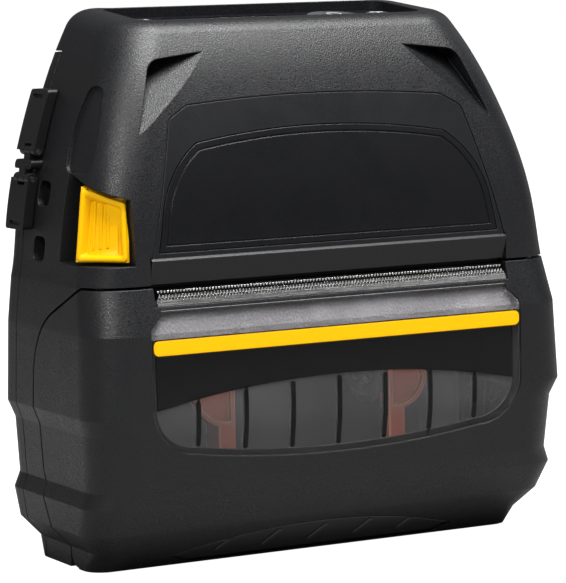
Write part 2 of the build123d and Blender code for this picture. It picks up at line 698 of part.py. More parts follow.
def well(grow, low, high):
    """The well in the sloped top, from one depth to another, with its outline grown."""
    plane = TOP_PLANE.offset(low)
    with BuildPart() as cut:
        with BuildSketch(plane) as outline:
            with Locations((0, -WELL_LENGTH / 2)):
                RectangleRounded(2 * (WELL_HALF + grow), WELL_LENGTH + 2 * grow, 5 + grow)
        extrude(outline.sketch, amount=high - low)
    return cut.part


def scoop(side, depth):
    """The space over a scoop's sloping floor in one top corner, deepened by a depth."""
    spread = depth * 1.1
    points = [(27 - spread, 146.4 + spread), (50.0 + spread, 143.8 + spread), (57.6 + spread, 122 - spread),
              (44 - spread, 127 - spread), (30 - spread, 139 - spread)]
    first = Vector(30.2 * side, -15.4, 146.0)
    second = Vector(56.8 * side, -23.6, 123.3)
    third = Vector(49.6 * side, -7.5, 143.5)
    normal = (second - first).cross(third - first).normalized()
    if normal.Z < 0:
        normal = normal * -1
    floor = Plane(origin=first - normal * depth, z_dir=normal)
    with BuildPart() as space:
        with BuildSketch(Plane.XZ.offset(-10)) as outline:
            with BuildLine():
                Polyline(*[(x * side, z) for x, z in points], close=True)
            make_face()
            fillet(outline.vertices().sort_by(Axis.X)[-2 if side > 0 else 1], 5.0)
        extrude(outline.sketch, amount=60)
        split(bisect_by=floor, keep=Keep.TOP)
    return space.part


def recess(grow, low):
    """The space of the lever's recess."""
    points = [(-ASIDE, -5 + grow), (-66 + grow, -5 + grow), (RECESS_SIDE + grow, -14 + grow),
              (RECESS_SIDE + grow, AHEAD), (-ASIDE, AHEAD)]
    with BuildPart() as space:
        plan_plate(points, low, 125)
        split(bisect_by=RECESS_TOP.offset(grow), keep=Keep.BOTTOM)
    return space.part


def strap_channel(side, grow):
    """The channel of a strap anchor behind its bar."""
    with BuildPart() as space:
        x0, x1 = sorted((side * (STRAP_FLOOR - grow), side * (ASIDE if grow else STRAP_BAR)))
        low, high = STRAP_HEIGHTS
        block(x0, x1, STRAP_Y - 4 - grow, STRAP_Y + 4 + grow, low - 3.6 - grow, high + 3.6 + grow)
    return space.part


with BuildPart() as cavity:
    add(inner)
    add(well(2.0, -WELL_DEPTH - 2.0, 20.0), mode=Mode.SUBTRACT)
    add(recess(RECESS_SIDE + PLATE_OUTER + 3.4, RECESS_LOW - 1.8), mode=Mode.SUBTRACT)
    block(-64, -55.8, -26.5, -15.8, POCKET_LOW - 1.8, POCKET_HIGH + 1.8, mode=Mode.SUBTRACT)
    for side in (-1, 1):
        add(scoop(side, WALL), mode=Mode.SUBTRACT)
        add(strap_channel(side, 1.6), mode=Mode.SUBTRACT)
with BuildPart() as main_housing:
    add(outer)
    add(cavity.part, mode=Mode.SUBTRACT)
    add(housing_limit, mode=Mode.SUBTRACT)
    add(rear_zone(SPLIT_GAP), mode=Mode.SUBTRACT)
    # Upper front: seat of the bezel, open label slot and a beam behind the chin
    add(skin(bezel_outline(FIT), -2.0, BEZEL_DEPTH), mode=Mode.SUBTRACT)
    block(-BEZEL_HALF - FIT, BEZEL_HALF + FIT, FACE_START, -20, PARTING_HEIGHT - 2, RIDGE_HEIGHT + 1.3,
          mode=Mode.SUBTRACT)
    block(-BEZEL_HALF - 2, BEZEL_HALF + 2, CHIN_BACK + UPPER_TEAR_STEEL, CHIN_BACK + 2.2, 85.6, 93)
    # Ribs that carry the print frame
    for side in (-1, 1):
        x0, x1 = sorted((side * PLATE_OUTER, side * (PLATE_OUTER + 1.5)))
        block(x0, x1, -24.0, 4.4, 86.4, 104.0)
        x0, x1 = sorted((side * PLATE_OUTER, side * HALF_WIDTH))
        if side > 0:
            for y0, z0, y1, z1 in ((-24.0, 86.4, -22.8, 104.0), (3.2, 86.4, 4.4, 104.0), (-24.0, 99.0, 4.4, 100.2)):
                block(x0, x1, y0, y1, z0, z1)
    # Hinge ears under the front of the floor
    for side in (-1, 1):
        for near, far in EAR_SPANS:
            x0, x1 = sorted((side * near, side * far))
            rod("x", HINGE_AXIS, KNUCKLE_RADIUS, x0, x1)
            ear = [(HINGE_Y, 1.2), (7.0, 1.2), (7.0, 2.6), (HINGE_Y, HINGE_Z + KNUCKLE_RADIUS)]
            side_plate(ear, x0, x1)
    # Screw towers
    for x, z in SCREW_PLACES:
        for side in (-1, 1):
            rod("y", (side * x, z), BOSS_RADIUS, BOSS_START, BACK_SPLIT - SPLIT_GAP)
            x0, x1 = sorted((side * x, side * (x + 6.0)))
            block(x0, x1, BOSS_START, BACK_SPLIT - SPLIT_GAP, z - 1, z + 1)
    # Post of the rack pinion
    rod("z", (0, 18), 1.5, WALL - 0.4, 9.2)
    add(outer, mode=Mode.INTERSECT)
    add(well(0.0, -PLATE - 3.0, 20.0), mode=Mode.SUBTRACT)
    add(well(-2.0, -WELL_DEPTH, -PLATE - 3.0), mode=Mode.SUBTRACT)
    add(recess(0.0, RECESS_LOW), mode=Mode.SUBTRACT)
    block(-64, -57.4, -24.6, -17.2, POCKET_LOW, POCKET_HIGH, mode=Mode.SUBTRACT)
    rod("z", LEVER_PIVOT, LEVER_PIN, POCKET_LOW - 1.2, POCKET_HIGH + 1.2, mode=Mode.SUBTRACT)
    for side in (-1, 1):
        add(scoop(side, 0.0), mode=Mode.SUBTRACT)
        add(strap_channel(side, 0.0), mode=Mode.SUBTRACT)
        for height in STRAP_HEIGHTS:
            x0, x1 = sorted((side * 67, side * ASIDE))
            with BuildSketch(Plane.YZ.offset(x0)) as slot:
                with Locations((STRAP_Y, height)):
                    RectangleRounded(8, 7.2, 2.4)
            extrude(slot.sketch, amount=x1 - x0, mode=Mode.SUBTRACT)
        x0, x1 = sorted((side * 40, side * ASIDE))
        with BuildSketch(Plane.YZ) as thumb:
            with BuildLine():
                Line((-17.5, 113), (-3, 113))
                ThreePointArc((-3, 113), (-1.8, 124), (-4.5, 134))
                ThreePointArc((-4.5, 134), (-9.5, 137), (-12.5, 133))
                ThreePointArc((-12.5, 133), (-15.8, 124), (-17.5, 113))
            make_face()
            fillet(thumb.vertices().group_by(Axis.Y)[0], 3.0)
        add(side_skin(thumb.sketch, -1.0, 1.0, x0, x1), mode=Mode.SUBTRACT)
        for x, z in SCREW_PLACES:
            rod("y", (side * x, z), SCREW_RADIUS, BOSS_START, BACK_SPLIT, mode=Mode.SUBTRACT)
        rod("x", HINGE_AXIS, HINGE_PIN_RADIUS, *sorted((side * 42.5, side * 59.5)), mode=Mode.SUBTRACT)
    # Port openings in the left flank, shared with the rear housing
    for height, tall in (POWER_PORT, DATA_PORT):
        block(-ASIDE, -60, PORT_FRONT, BACK_SPLIT, height - tall / 2, height + tall / 2, mode=Mode.SUBTRACT)
    # Motor shaft passage
    rod("x", MOTOR_AXIS, MOTOR_SHAFT + 0.6, 60, 64, mode=Mode.SUBTRACT)
keep(main_housing, "main_housing")

with BuildPart() as hinge_pins:
    for side in (-1, 1):
        rod("x", HINGE_AXIS, HINGE_PIN_RADIUS, *sorted((side * 42.5, side * 59.5)))
keep(hinge_pins, "hinge_pins")

# Rear housing with the battery bay
PACK_HALF = 38.0
PACK_LOW = 90.0
PACK_HIGH = 140.0
PACK_FRONT = 17.5
BAY_WALL = 1.6
PACK_FIT = 0.35
CONTACT_PITCH = 8.0
CONTACT_SPAN = (97.0, 105.0)
BATTERY_BAY_FRONT = 13.1
with BuildPart() as rear_housing:
    add(outer)
    add(inner, mode=Mode.SUBTRACT)
    block(-PACK_HALF - PACK_FIT - BAY_WALL, PACK_HALF + PACK_FIT + BAY_WALL, PACK_FRONT - PACK_FIT - BAY_WALL, REAR - 0.5,
          PACK_LOW - PACK_FIT - BAY_WALL, PACK_HIGH + PACK_FIT + BAY_WALL)
    for side in (-1, 1):
        for x, z in SCREW_PLACES:
            rod("y", (side * x, z), BOSS_RADIUS, BACK_SPLIT, REAR)
            x0, x1 = sorted((side * x, side * (x + 6.0)))
            block(x0, x1, BACK_SPLIT, REAR, z - 1, z + 1)
        for height in (PACK_LOW + 2, PACK_HIGH - 4):
            rod("y", (side * (PACK_HALF - 2), height), 2.0, BATTERY_BAY_FRONT, PACK_FRONT - PACK_FIT)
    add(outer, mode=Mode.INTERSECT)
    block(-ASIDE, ASIDE, AHEAD, BATTERY_BAY_FRONT, BELOW, ABOVE, mode=Mode.SUBTRACT)
    block(-ASIDE, ASIDE, 0, BEHIND, REAR_TOP - SPLIT_GAP, ABOVE, mode=Mode.SUBTRACT)
    margin = PACK_FIT + BAY_WALL + 1.0
    for x0, x1 in ((-ASIDE, -PACK_HALF - margin), (PACK_HALF + margin, ASIDE)):
        block(x0, x1, 0, BACK_SPLIT + SPLIT_GAP, BELOW, ABOVE, mode=Mode.SUBTRACT)
    block(-ASIDE, ASIDE, 0, BACK_SPLIT + SPLIT_GAP, BELOW, PACK_LOW - margin, mode=Mode.SUBTRACT)
    block(-ASIDE, ASIDE, 0, BACK_SPLIT + SPLIT_GAP, PACK_HIGH + margin, ABOVE, mode=Mode.SUBTRACT)
    block(-PACK_HALF - PACK_FIT, PACK_HALF + PACK_FIT, PACK_FRONT - PACK_FIT, 60, PACK_LOW - PACK_FIT,
          PACK_HIGH + PACK_FIT, mode=Mode.SUBTRACT)
    for place in range(-1, 2):
        middle = place * CONTACT_PITCH
        block(middle - 1 - FIT, middle + 1 + FIT, 10, PACK_FRONT, CONTACT_SPAN[0] - 1, CONTACT_SPAN[1] + 1,
              mode=Mode.SUBTRACT)
    for side in (-1, 1):
        for x, z in SCREW_PLACES:
            rod("y", (side * x, z), SCREW_RADIUS + FIT, BACK_SPLIT, BEHIND, mode=Mode.SUBTRACT)
            rod("y", (side * x, z), SCREW_HEAD + FIT, 30.0, BEHIND, mode=Mode.SUBTRACT)
    for height, tall in (POWER_PORT, DATA_PORT):
        block(-ASIDE, -60, BACK_SPLIT, PORT_REAR, height - tall / 2, height + tall / 2, mode=Mode.SUBTRACT)
keep(rear_housing, "rear_housing")

with BuildPart() as battery_pack:
    add(outer)
    block(-PACK_HALF, PACK_HALF, PACK_FRONT, 60, PACK_LOW, PACK_HIGH, mode=Mode.INTERSECT)
    fillet(battery_pack.edges().filter_by(Axis.Y), 2.0)
    # Finger ledge and the sprung tab above it
    block(-16, 16, REAR - 2.6, 60, PACK_HIGH - 9, PACK_HIGH - 4, mode=Mode.SUBTRACT)
    block(-11, -10, REAR - 5, 60, PACK_HIGH - 9, PACK_HIGH + 1, mode=Mode.SUBTRACT)
    block(10, 11, REAR - 5, 60, PACK_HIGH - 9, PACK_HIGH + 1, mode=Mode.SUBTRACT)
    # Grip grooves
    for place in range(5):
        block(-24, 24, REAR - 0.7, 60, PACK_LOW + 8 + 4 * place, PACK_LOW + 9.4 + 4 * place, mode=Mode.SUBTRACT)
keep(battery_pack, "battery_pack")

with BuildPart() as battery_contacts:
    for place in range(-1, 2):
        block(place * CONTACT_PITCH - 1, place * CONTACT_PITCH + 1, BATTERY_BAY_FRONT, PACK_FRONT, *CONTACT_SPAN)
keep(battery_contacts, "battery_contacts")

BOARD_FRONT = 11.5
with BuildPart() as main_board:
    block(-52, 52, BOARD_FRONT, BOARD_FRONT + PLATE, 88.5, 138.5)
    for x, z, wide, tall, thick in ((-20, 112, 14, 14, 1.6), (14, 122, 10, 8, 1.4), (30, 100, 16, 6, 3.0),
                                    (-38, 96, 8, 8, 2.2)):
        block(x - wide / 2, x + wide / 2, BOARD_FRONT - thick, BOARD_FRONT, z - tall / 2, z + tall / 2)
keep(main_board, "main_board")

with BuildPart() as housing_screws:
    for side in (-1, 1):
        for x, z in SCREW_PLACES:
            rod("y", (side * x, z), SCREW_RADIUS, 12.0, 30.2)
            rod("y", (side * x, z), SCREW_HEAD, 30.0, 31.6)
            block(side * x - 0.3, side * x + 0.3, 31.0, 31.6, z - 1.7, z + 1.7, mode=Mode.SUBTRACT)
            block(side * x - 1.7, side * x + 1.7, 31.0, 31.6, z - 0.3, z + 0.3, mode=Mode.SUBTRACT)
keep(housing_screws, "housing_screws")

# Roll bay tub: a cheek each side, floor, back and roof
TUB_TOP = 86.0
TUB_LOW = 9.0
TUB_BACK = 31.0
with BuildPart() as tub_cheeks:
    block(-BAY_HALF - BULKHEAD, -BAY_HALF, AHEAD, BEHIND, WALL + 0.1, TUB_TOP)
    block(BAY_HALF, BAY_HALF + BULKHEAD, AHEAD, BEHIND, WALL + 0.1, TUB_TOP)
    add(liner_space, mode=Mode.INTERSECT)
    add(cover_zone(SEAM / 2 + 0.1, square_heel=True), mode=Mode.SUBTRACT)
with BuildPart() as media_tub:
    add(tub_cheeks.part)
    block(-ASIDE, ASIDE, AHEAD, BEHIND, BELOW, TUB_LOW, mode=Mode.SUBTRACT)
    block(-ASIDE, ASIDE, TUB_BACK, BEHIND, BELOW, ABOVE, mode=Mode.SUBTRACT)
    block(-BAY_HALF, BAY_HALF, 15.5, TUB_BACK, BAY_FLOOR, BAY_FLOOR + LINER)
    block(-BAY_HALF, BAY_HALF, TUB_BACK - LINER, TUB_BACK, BAY_FLOOR, BAY_ROOF + LINER)
    block(-BAY_HALF, BAY_HALF, 6.0, TUB_BACK, BAY_ROOF, BAY_ROOF + LINER)
    block(-BAY_HALF, BAY_HALF, 6.0, 6.0 + LINER, BAY_ROOF - 3, BAY_ROOF)
    rod("x", IDLER_AXIS, STUD_RADIUS, BAY_HALF, GEAR_END + 0.8)
    rod("x", ARM_ROD, ARM_ROD_RADIUS, -HALF_WIDTH, HALF_WIDTH, mode=Mode.SUBTRACT)
    side_plate([(-40, 79.5), (6, 79.5), (6, 90), (-40, 90)], -BAY_HALF - BULKHEAD, -BAY_HALF, mode=Mode.SUBTRACT)
    add(liner_space, mode=Mode.INTERSECT)
keep(media_tub, "media_tub")

with BuildPart() as media_sensor:
    block(-8, 8, 9.0, 19.0, BAY_ROOF - 2.0, BAY_ROOF)
    block(-3, 3, 12.0, 16.0, BAY_ROOF - 2.8, BAY_ROOF - 2.0)
keep(media_sensor, "media_sensor")

# Media arms on a guide rod, driven apart and together by racks on one pinion
ARM_NEAR = 22.9
ARM_FAR = 30.6
ARM_PLATE = 2.7
ARM_BACK = 14.5
SHOE_FRONT = 2 * ARM_ROD[0] - ARM_BACK
ARM_FRONT = -15.0
FLANGE_NEAR = 25.4
FLANGE_THICK = 2.6
SHOE_LOW = 9.6
SHOE_HIGH = 15.0
EAR_CENTRE = (28.3, 49.0)
EAR_RADIUS = 10.0
EAR_TOP = 58.0
EAR_RIM = 1.3
EAR_SUNK = 1.4
DISK_RADIUS = 11.5
DISK_FACE = 25.0
HUB_AXIS = (ROLL_Y, ROLL_Z)
HUB_BOSS = 8.0
HUB_SNOUT = 6.2
HUB_CUP = 4.4
AXLE_RADIUS = 2.0
RACK_MODULE = 0.8
RACK_TEETH = 10
PINION_PLACE = (0, 18)
RACK_REACH = RACK_MODULE * RACK_TEETH / 2
RACK_BACK = RACK_REACH + 2.6
RACK_LOW = 4.6
RACK_HIGH = 8.6
RACK_TAIL = 34.0
RACK_LEG = 1.6
ARM_TRAVEL = 31.0

with BuildPart() as arm_rod:
    rod("x", ARM_ROD, ARM_ROD_RADIUS, -BAY_HALF - BULKHEAD, BAY_HALF + BULKHEAD)
keep(arm_rod, "arm_rod")


def rack_plan(side):
    """Plan outline of one rack; the left one is the right one turned about the pinion."""
    step = math.pi * RACK_MODULE
    pitch_y = PINION_PLACE[1] - RACK_REACH
    root = pitch_y - 1.15 * RACK_MODULE
    tip = pitch_y + 0.9 * RACK_MODULE
    back = PINION_PLACE[1] - RACK_BACK
    points = [(ARM_FAR, back), (-RACK_TAIL, back), (-RACK_TAIL, root)]
    first = math.ceil(-RACK_TAIL / step + 0.5)
    last = math.ceil((RACK_TAIL - ARM_TRAVEL) / step)
    for tooth in range(first, last + 1):
        for share, reach in ((-0.33, root), (-0.12, tip), (0.12, tip), (0.33, root)):
            points.append(((tooth + share) * step, reach))
    points.append((ARM_FAR, root))
    if side < 0:
        points = [(2 * PINION_PLACE[0] - x, 2 * PINION_PLACE[1] - y) for x, y in points]
    return points


def ear_outline(side, inset=0.0):
    """Front view of an arm's turned-out ear: a quarter round below, tapering to its top."""
    x, z = EAR_CENTRE
    middle = EAR_RADIUS * math.sqrt(0.5)
    with BuildSketch(Plane.XZ) as outline:
        with BuildLine():
            Line((FLANGE_NEAR * side, z - EAR_RADIUS), (x * side, z - EAR_RADIUS))
            ThreePointArc((x * side, z - EAR_RADIUS), ((x + middle) * side, z - middle), ((x + EAR_RADIUS) * side, z))
            Polyline(((x + EAR_RADIUS) * side, z), (ARM_FAR * side, EAR_TOP), (FLANGE_NEAR * side, EAR_TOP))
            Line((FLANGE_NEAR * side, EAR_TOP), (FLANGE_NEAR * side, z - EAR_RADIUS))
        make_face()
        if inset:
            offset(amount=-inset)
    return outline.sketch


def arm(side):
    """One media arm: a shoe on the guide rod, an angle-section stem and a hub boss."""
    flange_back = ARM_FRONT + FLANGE_THICK
    with BuildPart() as piece:
        x0, x1 = sorted((side * ARM_NEAR, side * ARM_FAR))
        block(x0, x1, SHOE_FRONT, ARM_BACK, SHOE_LOW, SHOE_HIGH)
        web = [(ARM_BACK, SHOE_LOW + 1), (ARM_BACK, SHOE_HIGH + 2), (2.0, 20.5), (-6.5, 30.0), (-6.5, 38.0), (-1.0, 43.6),
               (HUB_AXIS[0], HUB_AXIS[1] + HUB_BOSS), (flange_back, EAR_TOP), (ARM_FRONT, EAR_TOP), (ARM_FRONT, 17.0),
               (-9.0, SHOE_LOW + 1)]
        x2, x3 = sorted((side * (ARM_FAR - ARM_PLATE), side * ARM_FAR))
        side_plate(web, x2, x3)
        x4, x5 = sorted((side * FLANGE_NEAR, side * ARM_FAR))
        block(x4, x5, ARM_FRONT, flange_back, 17.0, EAR_CENTRE[1] - EAR_RADIUS)
        front_plate(ear_outline(side), ARM_FRONT, flange_back)
        front_plate(ear_outline(side, EAR_RIM), ARM_FRONT - 1, ARM_FRONT + EAR_SUNK, mode=Mode.SUBTRACT)
        rod("x", HUB_AXIS, HUB_BOSS, x2, x3)
        axle = side * (ARM_FAR - ARM_PLATE)
        rod("x", HUB_AXIS, AXLE_RADIUS, *sorted((axle - side * 3.4, axle)))
        # Leg down to the rack, which on the left reaches over the other arm's rack
        back = PINION_PLACE[1] + math.copysign(RACK_BACK, -side)
        leg = sorted((back, back + math.copysign(RACK_LEG, side)))
        if side < 0:
            block(x0, x1, ARM_BACK - 1.5, leg[1], SHOE_LOW, SHOE_LOW + 1.8)
        block(x0, x1, *leg, RACK_HIGH, SHOE_LOW + 0.4)
        rod("x", ARM_ROD, ARM_ROD_RADIUS + RUNNING, x0 - 1, x1 + 1, mode=Mode.SUBTRACT)
    return piece


arm_left = arm(-1)
keep(arm_left, "arm_left")
arm_right = arm(1)
keep(arm_right, "arm_right")

for side, label in ((-1, "rack_left"), (1, "rack_right")):
    with BuildPart() as rack:
        plan_plate(rack_plan(side), RACK_LOW, RACK_HIGH)
    keep(rack, label)

with BuildPart() as rack_pinion:
    # A gap faces each rack's middle tooth
    gap_phase = -90 + 180 / RACK_TEETH
    extrude(
        gear_outline(Plane.XY.offset(RACK_LOW), PINION_PLACE, RACK_TEETH, RACK_MODULE, gap_phase, 1.5 + RUNNING),
        amount=RACK_HIGH - RACK_LOW,
    )
keep(rack_pinion, "rack_pinion")

for side, label in ((-1, "media_disk_left"), (1, "media_disk_right")):
    with BuildPart() as media_disk:
        near = side * DISK_FACE
        far = side * (ARM_FAR - ARM_PLATE - FIT)
        rod("x", HUB_AXIS, DISK_RADIUS, *sorted((near, far)))
        chamfer(media_disk.edges().filter_by(GeomType.CIRCLE), 0.6)
        rod("x", HUB_AXIS, DISK_RADIUS - 2.2, *sorted((near, near + side * 0.9)), mode=Mode.SUBTRACT)
        rod("x", HUB_AXIS, HUB_SNOUT, *sorted((near - side * 2.4, far)))
        rod("x", HUB_AXIS, HUB_CUP, *sorted((near - side * 3, near - side * 1.2)), mode=Mode.SUBTRACT)
        rod("x", HUB_AXIS, AXLE_RADIUS + RUNNING, *sorted((near - side * 5, far + side * 2)), mode=Mode.SUBTRACT)
    keep(media_disk, label)

# Print frame: a steel plate each side, a cross member and the head's pivot pin
HEAD_PIVOT = (-12.5, 83.0)
HEAD_PIN = 1.0
LATCH_SHAFT = (-14.5, 87.5)
LATCH_RADIUS = 1.5
CROSS_LOW = 89.6
with BuildPart() as print_frame:
    for side in (-1, 1):
        x0, x1 = sorted((side * PLATE_INNER, side * PLATE_OUTER))
        side_plate([(-24, 79.6), (0, 79.6), (2, 82), (2, 91), (-24, 91)], x0, x1)
        if side > 0:
            rod("x", MOTOR_AXIS, 10.0, x0, x1)
    block(-PLATE_OUTER, PLATE_OUTER, -24.0, -15.0, CROSS_LOW, CROSS_LOW + PLATE_STEEL)
    block(-50, 50, -24.0, -22.6, CROSS_LOW - 1.4, CROSS_LOW)
    for side in (-1, 1):
        block(side * 56.2, side * PLATE_INNER, -18.2, -14.0, CROSS_LOW - 1, CROSS_LOW + 3, mode=Mode.SUBTRACT)
    rod("x", HEAD_PIVOT, HEAD_PIN, -HALF_WIDTH, HALF_WIDTH, mode=Mode.SUBTRACT)
    rod("x", LATCH_SHAFT, LATCH_RADIUS + RUNNING, -HALF_WIDTH, HALF_WIDTH, mode=Mode.SUBTRACT)
    rod("x", MOTOR_AXIS, MOTOR_SHAFT + 0.6, PLATE_INNER - 1, PLATE_OUTER + 1, mode=Mode.SUBTRACT)
    for place in range(-2, 3):
        with Locations((place * 20, -19.5, CROSS_LOW)):
            Cylinder(2.0, 6, mode=Mode.SUBTRACT)
keep(print_frame, "print_frame")

with BuildPart() as head_pin:
    rod("x", HEAD_PIVOT, HEAD_PIN, -PLATE_OUTER, PLATE_OUTER)
keep(head_pin, "head_pin")

HEAD_FRONT = -25.6
HEAD_LOW = PLATEN_Z + PLATEN_RADIUS + FIT
HEAD_HALF = 54.0
SINK_TOP = 84.5
with BuildPart() as printhead:
    block(-HEAD_HALF, HEAD_HALF, HEAD_FRONT, -16.0, HEAD_LOW, HEAD_LOW + 1.0)
    rod("x", (PLATEN_Y, HEAD_LOW + 0.15), 0.25, -HEAD_HALF + 2, HEAD_HALF - 2)
    block(-HEAD_HALF + 6, HEAD_HALF - 6, -18.5, -16.0, HEAD_LOW - 0.0, HEAD_LOW + 1.0)
keep(printhead, "printhead")

FIN_PITCH = 6.0
with BuildPart() as heat_sink:
    block(-HEAD_HALF, HEAD_HALF, HEAD_FRONT, -10.9, HEAD_LOW + 1.0, 82.3)
    for place in range(-8, 9):
        block(place * FIN_PITCH - 0.8, place * FIN_PITCH + 0.8, HEAD_FRONT + 1, -15.5, 82.0, SINK_TOP)
    for side in (-1, 1):
        x0, x1 = sorted((side * 50, side * HEAD_HALF))
        block(x0, x1, -14.8, -10.2, 80.5, SINK_TOP + 0.6)
    block(-8, 8, -14.8, -10.2, 80.5, SINK_TOP + 0.6)
    rod("x", HEAD_PIVOT, HEAD_PIN + RUNNING, -HALF_WIDTH, HALF_WIDTH, mode=Mode.SUBTRACT)
keep(heat_sink, "heat_sink")

with BuildPart() as head_springs:
    for side in (-1, 1):
        middle = side * 30
        block(middle - 4, middle + 4, -17.4, -15.0, CROSS_LOW - 0.4, CROSS_LOW)
        side_plate([(-17.4, 89.6), (-20.6, 85.6), (-19.8, 85.1), (-18.4, 85.4), (-18.6, 85.7), (-19.6, 85.6), (-16.8, 89.3)],
                   middle - 3, middle + 3)
keep(head_springs, "head_springs")

# Latch: a hook at each end of a shaft, drawn just clear of the bearing bosses it holds
HOOK_NEAR = 56.7
HOOK_FAR = 58.8
with BuildPart() as latch_hooks:
    rod("x", LATCH_SHAFT, LATCH_RADIUS, -PLATE_OUTER, PLATE_OUTER)
    for side in (-1, 1):
        x0, x1 = sorted((side * HOOK_NEAR, side * HOOK_FAR))
        side_plate([(-26.6, 80.2), (-26.4, 75.9), (-24.8, 75.9), (-22.0, 76.8), (-17.5, 78.6), (-12.6, 85.2),
                    (-13.6, 90.2), (-16.3, 90.0)], x0, x1)
        rod("x", LATCH_SHAFT, 2.8, x0, x1)
    block(-HOOK_NEAR, -HOOK_NEAR + 6, -16.6, -12.4, 86.4, 88.6)
keep(latch_hooks, "latch_hooks")

MOTOR_RADIUS = 9.0
with BuildPart() as drive_motor:
    rod("x", MOTOR_AXIS, MOTOR_RADIUS, 24.0, PLATE_INNER - 2.0)
    chamfer(drive_motor.edges().filter_by(GeomType.CIRCLE), 0.6)
    rod("x", MOTOR_AXIS, 3.5, PLATE_INNER - 2.0, PLATE_INNER)
    rod("x", MOTOR_AXIS, 2.6, 22.0, 24.0)
    rod("x", MOTOR_AXIS, MOTOR_SHAFT + RUNNING, MOTOR_FACE, HALF_WIDTH, mode=Mode.SUBTRACT)
keep(drive_motor, "drive_motor")

# Top panel: plate on the well's ledge, keys through it and a board under them
PANEL_FACE = -3.0
PLATE_UNDER = PANEL_FACE - PLATE
FLANGE_TOP = PLATE_UNDER - FIT
FLANGE_LOW = FLANGE_TOP - 0.6
BOARD_TOP = FLANGE_LOW - KEY_TRAVEL - FIT
CAP_TOP = PANEL_FACE + 1.0
KEY_ROW = -WELL_LENGTH / 2
POWER_X = -39.0
FEED_X = 39.5
NAV_X = 24.0
DISPLAY_X = -10.0
CAP_RADIUS = 4.0
NAV_RADIUS = 8.0
SELECT_RADIUS = 3.2
GLASS = (38.0, 19.0)
RING_KEYS = ((POWER_X, CAP_RADIUS), (FEED_X, CAP_RADIUS), (NAV_X, NAV_RADIUS))


def panel_round(place, radius, low, high, mode=Mode.ADD):
    """A disc standing on the sloped top, between two depths."""
    with BuildSketch(TOP_PLANE.offset(low)) as circle:
        with Locations((place, KEY_ROW)):
            Circle(radius)
    extrude(circle.sketch, amount=high - low, mode=mode)


def panel_block(place, wide, deep, radius, low, high, mode=Mode.ADD):
    """A rounded block standing on the sloped top, between two depths."""
    with BuildSketch(TOP_PLANE.offset(low)) as outline:
        with Locations((place, KEY_ROW)):
            RectangleRounded(wide, deep, radius)
    extrude(outline.sketch, amount=high - low, mode=mode)


with BuildPart() as control_panel:
    panel_block(0, 2 * (WELL_HALF - FIT), WELL_LENGTH - 2 * FIT, 5 - FIT, PLATE_UNDER, PANEL_FACE)
    chamfer(control_panel.faces().sort_by(Axis.Z)[-1].edges(), 0.3)
    for place, radius in RING_KEYS:
        panel_round(place, radius + FIT, PLATE_UNDER - 1, PANEL_FACE + 1, mode=Mode.SUBTRACT)
    panel_block(DISPLAY_X, GLASS[0] + 0.2, GLASS[1] + 0.2, 1.1, PLATE_UNDER - 1, PANEL_FACE + 1, mode=Mode.SUBTRACT)
keep(control_panel, "control_panel")

with BuildPart() as display_lens:
    panel_block(DISPLAY_X, GLASS[0], GLASS[1], 1.0, PLATE_UNDER, PANEL_FACE + 0.2)
    chamfer(display_lens.faces().sort_by(Axis.Z)[-1].edges(), 0.2)
keep(display_lens, "display_lens")

with BuildPart() as display_module:
    panel_block(DISPLAY_X, GLASS[0] + 4, GLASS[1] + 3, 0.6, BOARD_TOP, PLATE_UNDER)
    panel_block(DISPLAY_X, GLASS[0] - 5, GLASS[1] - 6, 0.4, PLATE_UNDER - 0.4, PLATE_UNDER + 1, mode=Mode.SUBTRACT)
keep(display_module, "display_module")

for place, label in ((POWER_X, "power_button"), (FEED_X, "feed_button")):
    with BuildPart() as key:
        panel_round(place, CAP_RADIUS, FLANGE_LOW, CAP_TOP)
        fillet(key.faces().sort_by(Axis.Z)[-1].edges(), 0.5)
        panel_round(place, CAP_RADIUS + 1.0, FLANGE_LOW, FLANGE_TOP)
    keep(key, label)

with BuildPart() as nav_pad:
    panel_round(NAV_X, NAV_RADIUS, FLANGE_LOW, CAP_TOP)
    fillet(nav_pad.faces().sort_by(Axis.Z)[-1].edges(), 0.6)
    panel_round(NAV_X, NAV_RADIUS + 1.0, FLANGE_LOW, FLANGE_TOP)
    panel_round(NAV_X, SELECT_RADIUS + FIT, -20, 5, mode=Mode.SUBTRACT)
    panel_round(NAV_X, SELECT_RADIUS + 1.5, -20, FLANGE_TOP + KEY_TRAVEL + FIT, mode=Mode.SUBTRACT)
    # Four small marks that point up, down, left and right
    with BuildSketch(TOP_PLANE.offset(CAP_TOP - 0.3)) as marks:
        with Locations((NAV_X, KEY_ROW)):
            with PolarLocations(5.9, 4):
                RegularPolygon(1.0, 3)
    extrude(marks.sketch, amount=2, mode=Mode.SUBTRACT)
keep(nav_pad, "nav_pad")

with BuildPart() as select_button:
    panel_round(NAV_X, SELECT_RADIUS, FLANGE_LOW, CAP_TOP + 0.2)
    fillet(select_button.faces().sort_by(Axis.Z)[-1].edges(), 0.4)
    panel_round(NAV_X, SELECT_RADIUS + 0.9, FLANGE_LOW, FLANGE_TOP)
keep(select_button, "select_button")

with BuildPart() as keypad_board:
    panel_block(0, 2 * (WELL_HALF - 2 - FIT), WELL_LENGTH - 4 - 2 * FIT, 2.5, -WELL_DEPTH, BOARD_TOP)
keep(keypad_board, "keypad_board")

# Port doors on the left flank: their hinge block stands between them
DOOR_OUT = -3.5
DOOR_IN = -0.5
DOOR_FRONT = 14.0
DOOR_REAR = 26.5
UPPER_PIN = (-71.1, 118.4)
LOWER_PIN = (-73.3, 110.6)
DOOR_ROUND = 1.5
DOOR_PIN = 0.8
LUG_FRONT = 17.0
LUG_REAR = 21.0
KNUCKLE_END = 24.0


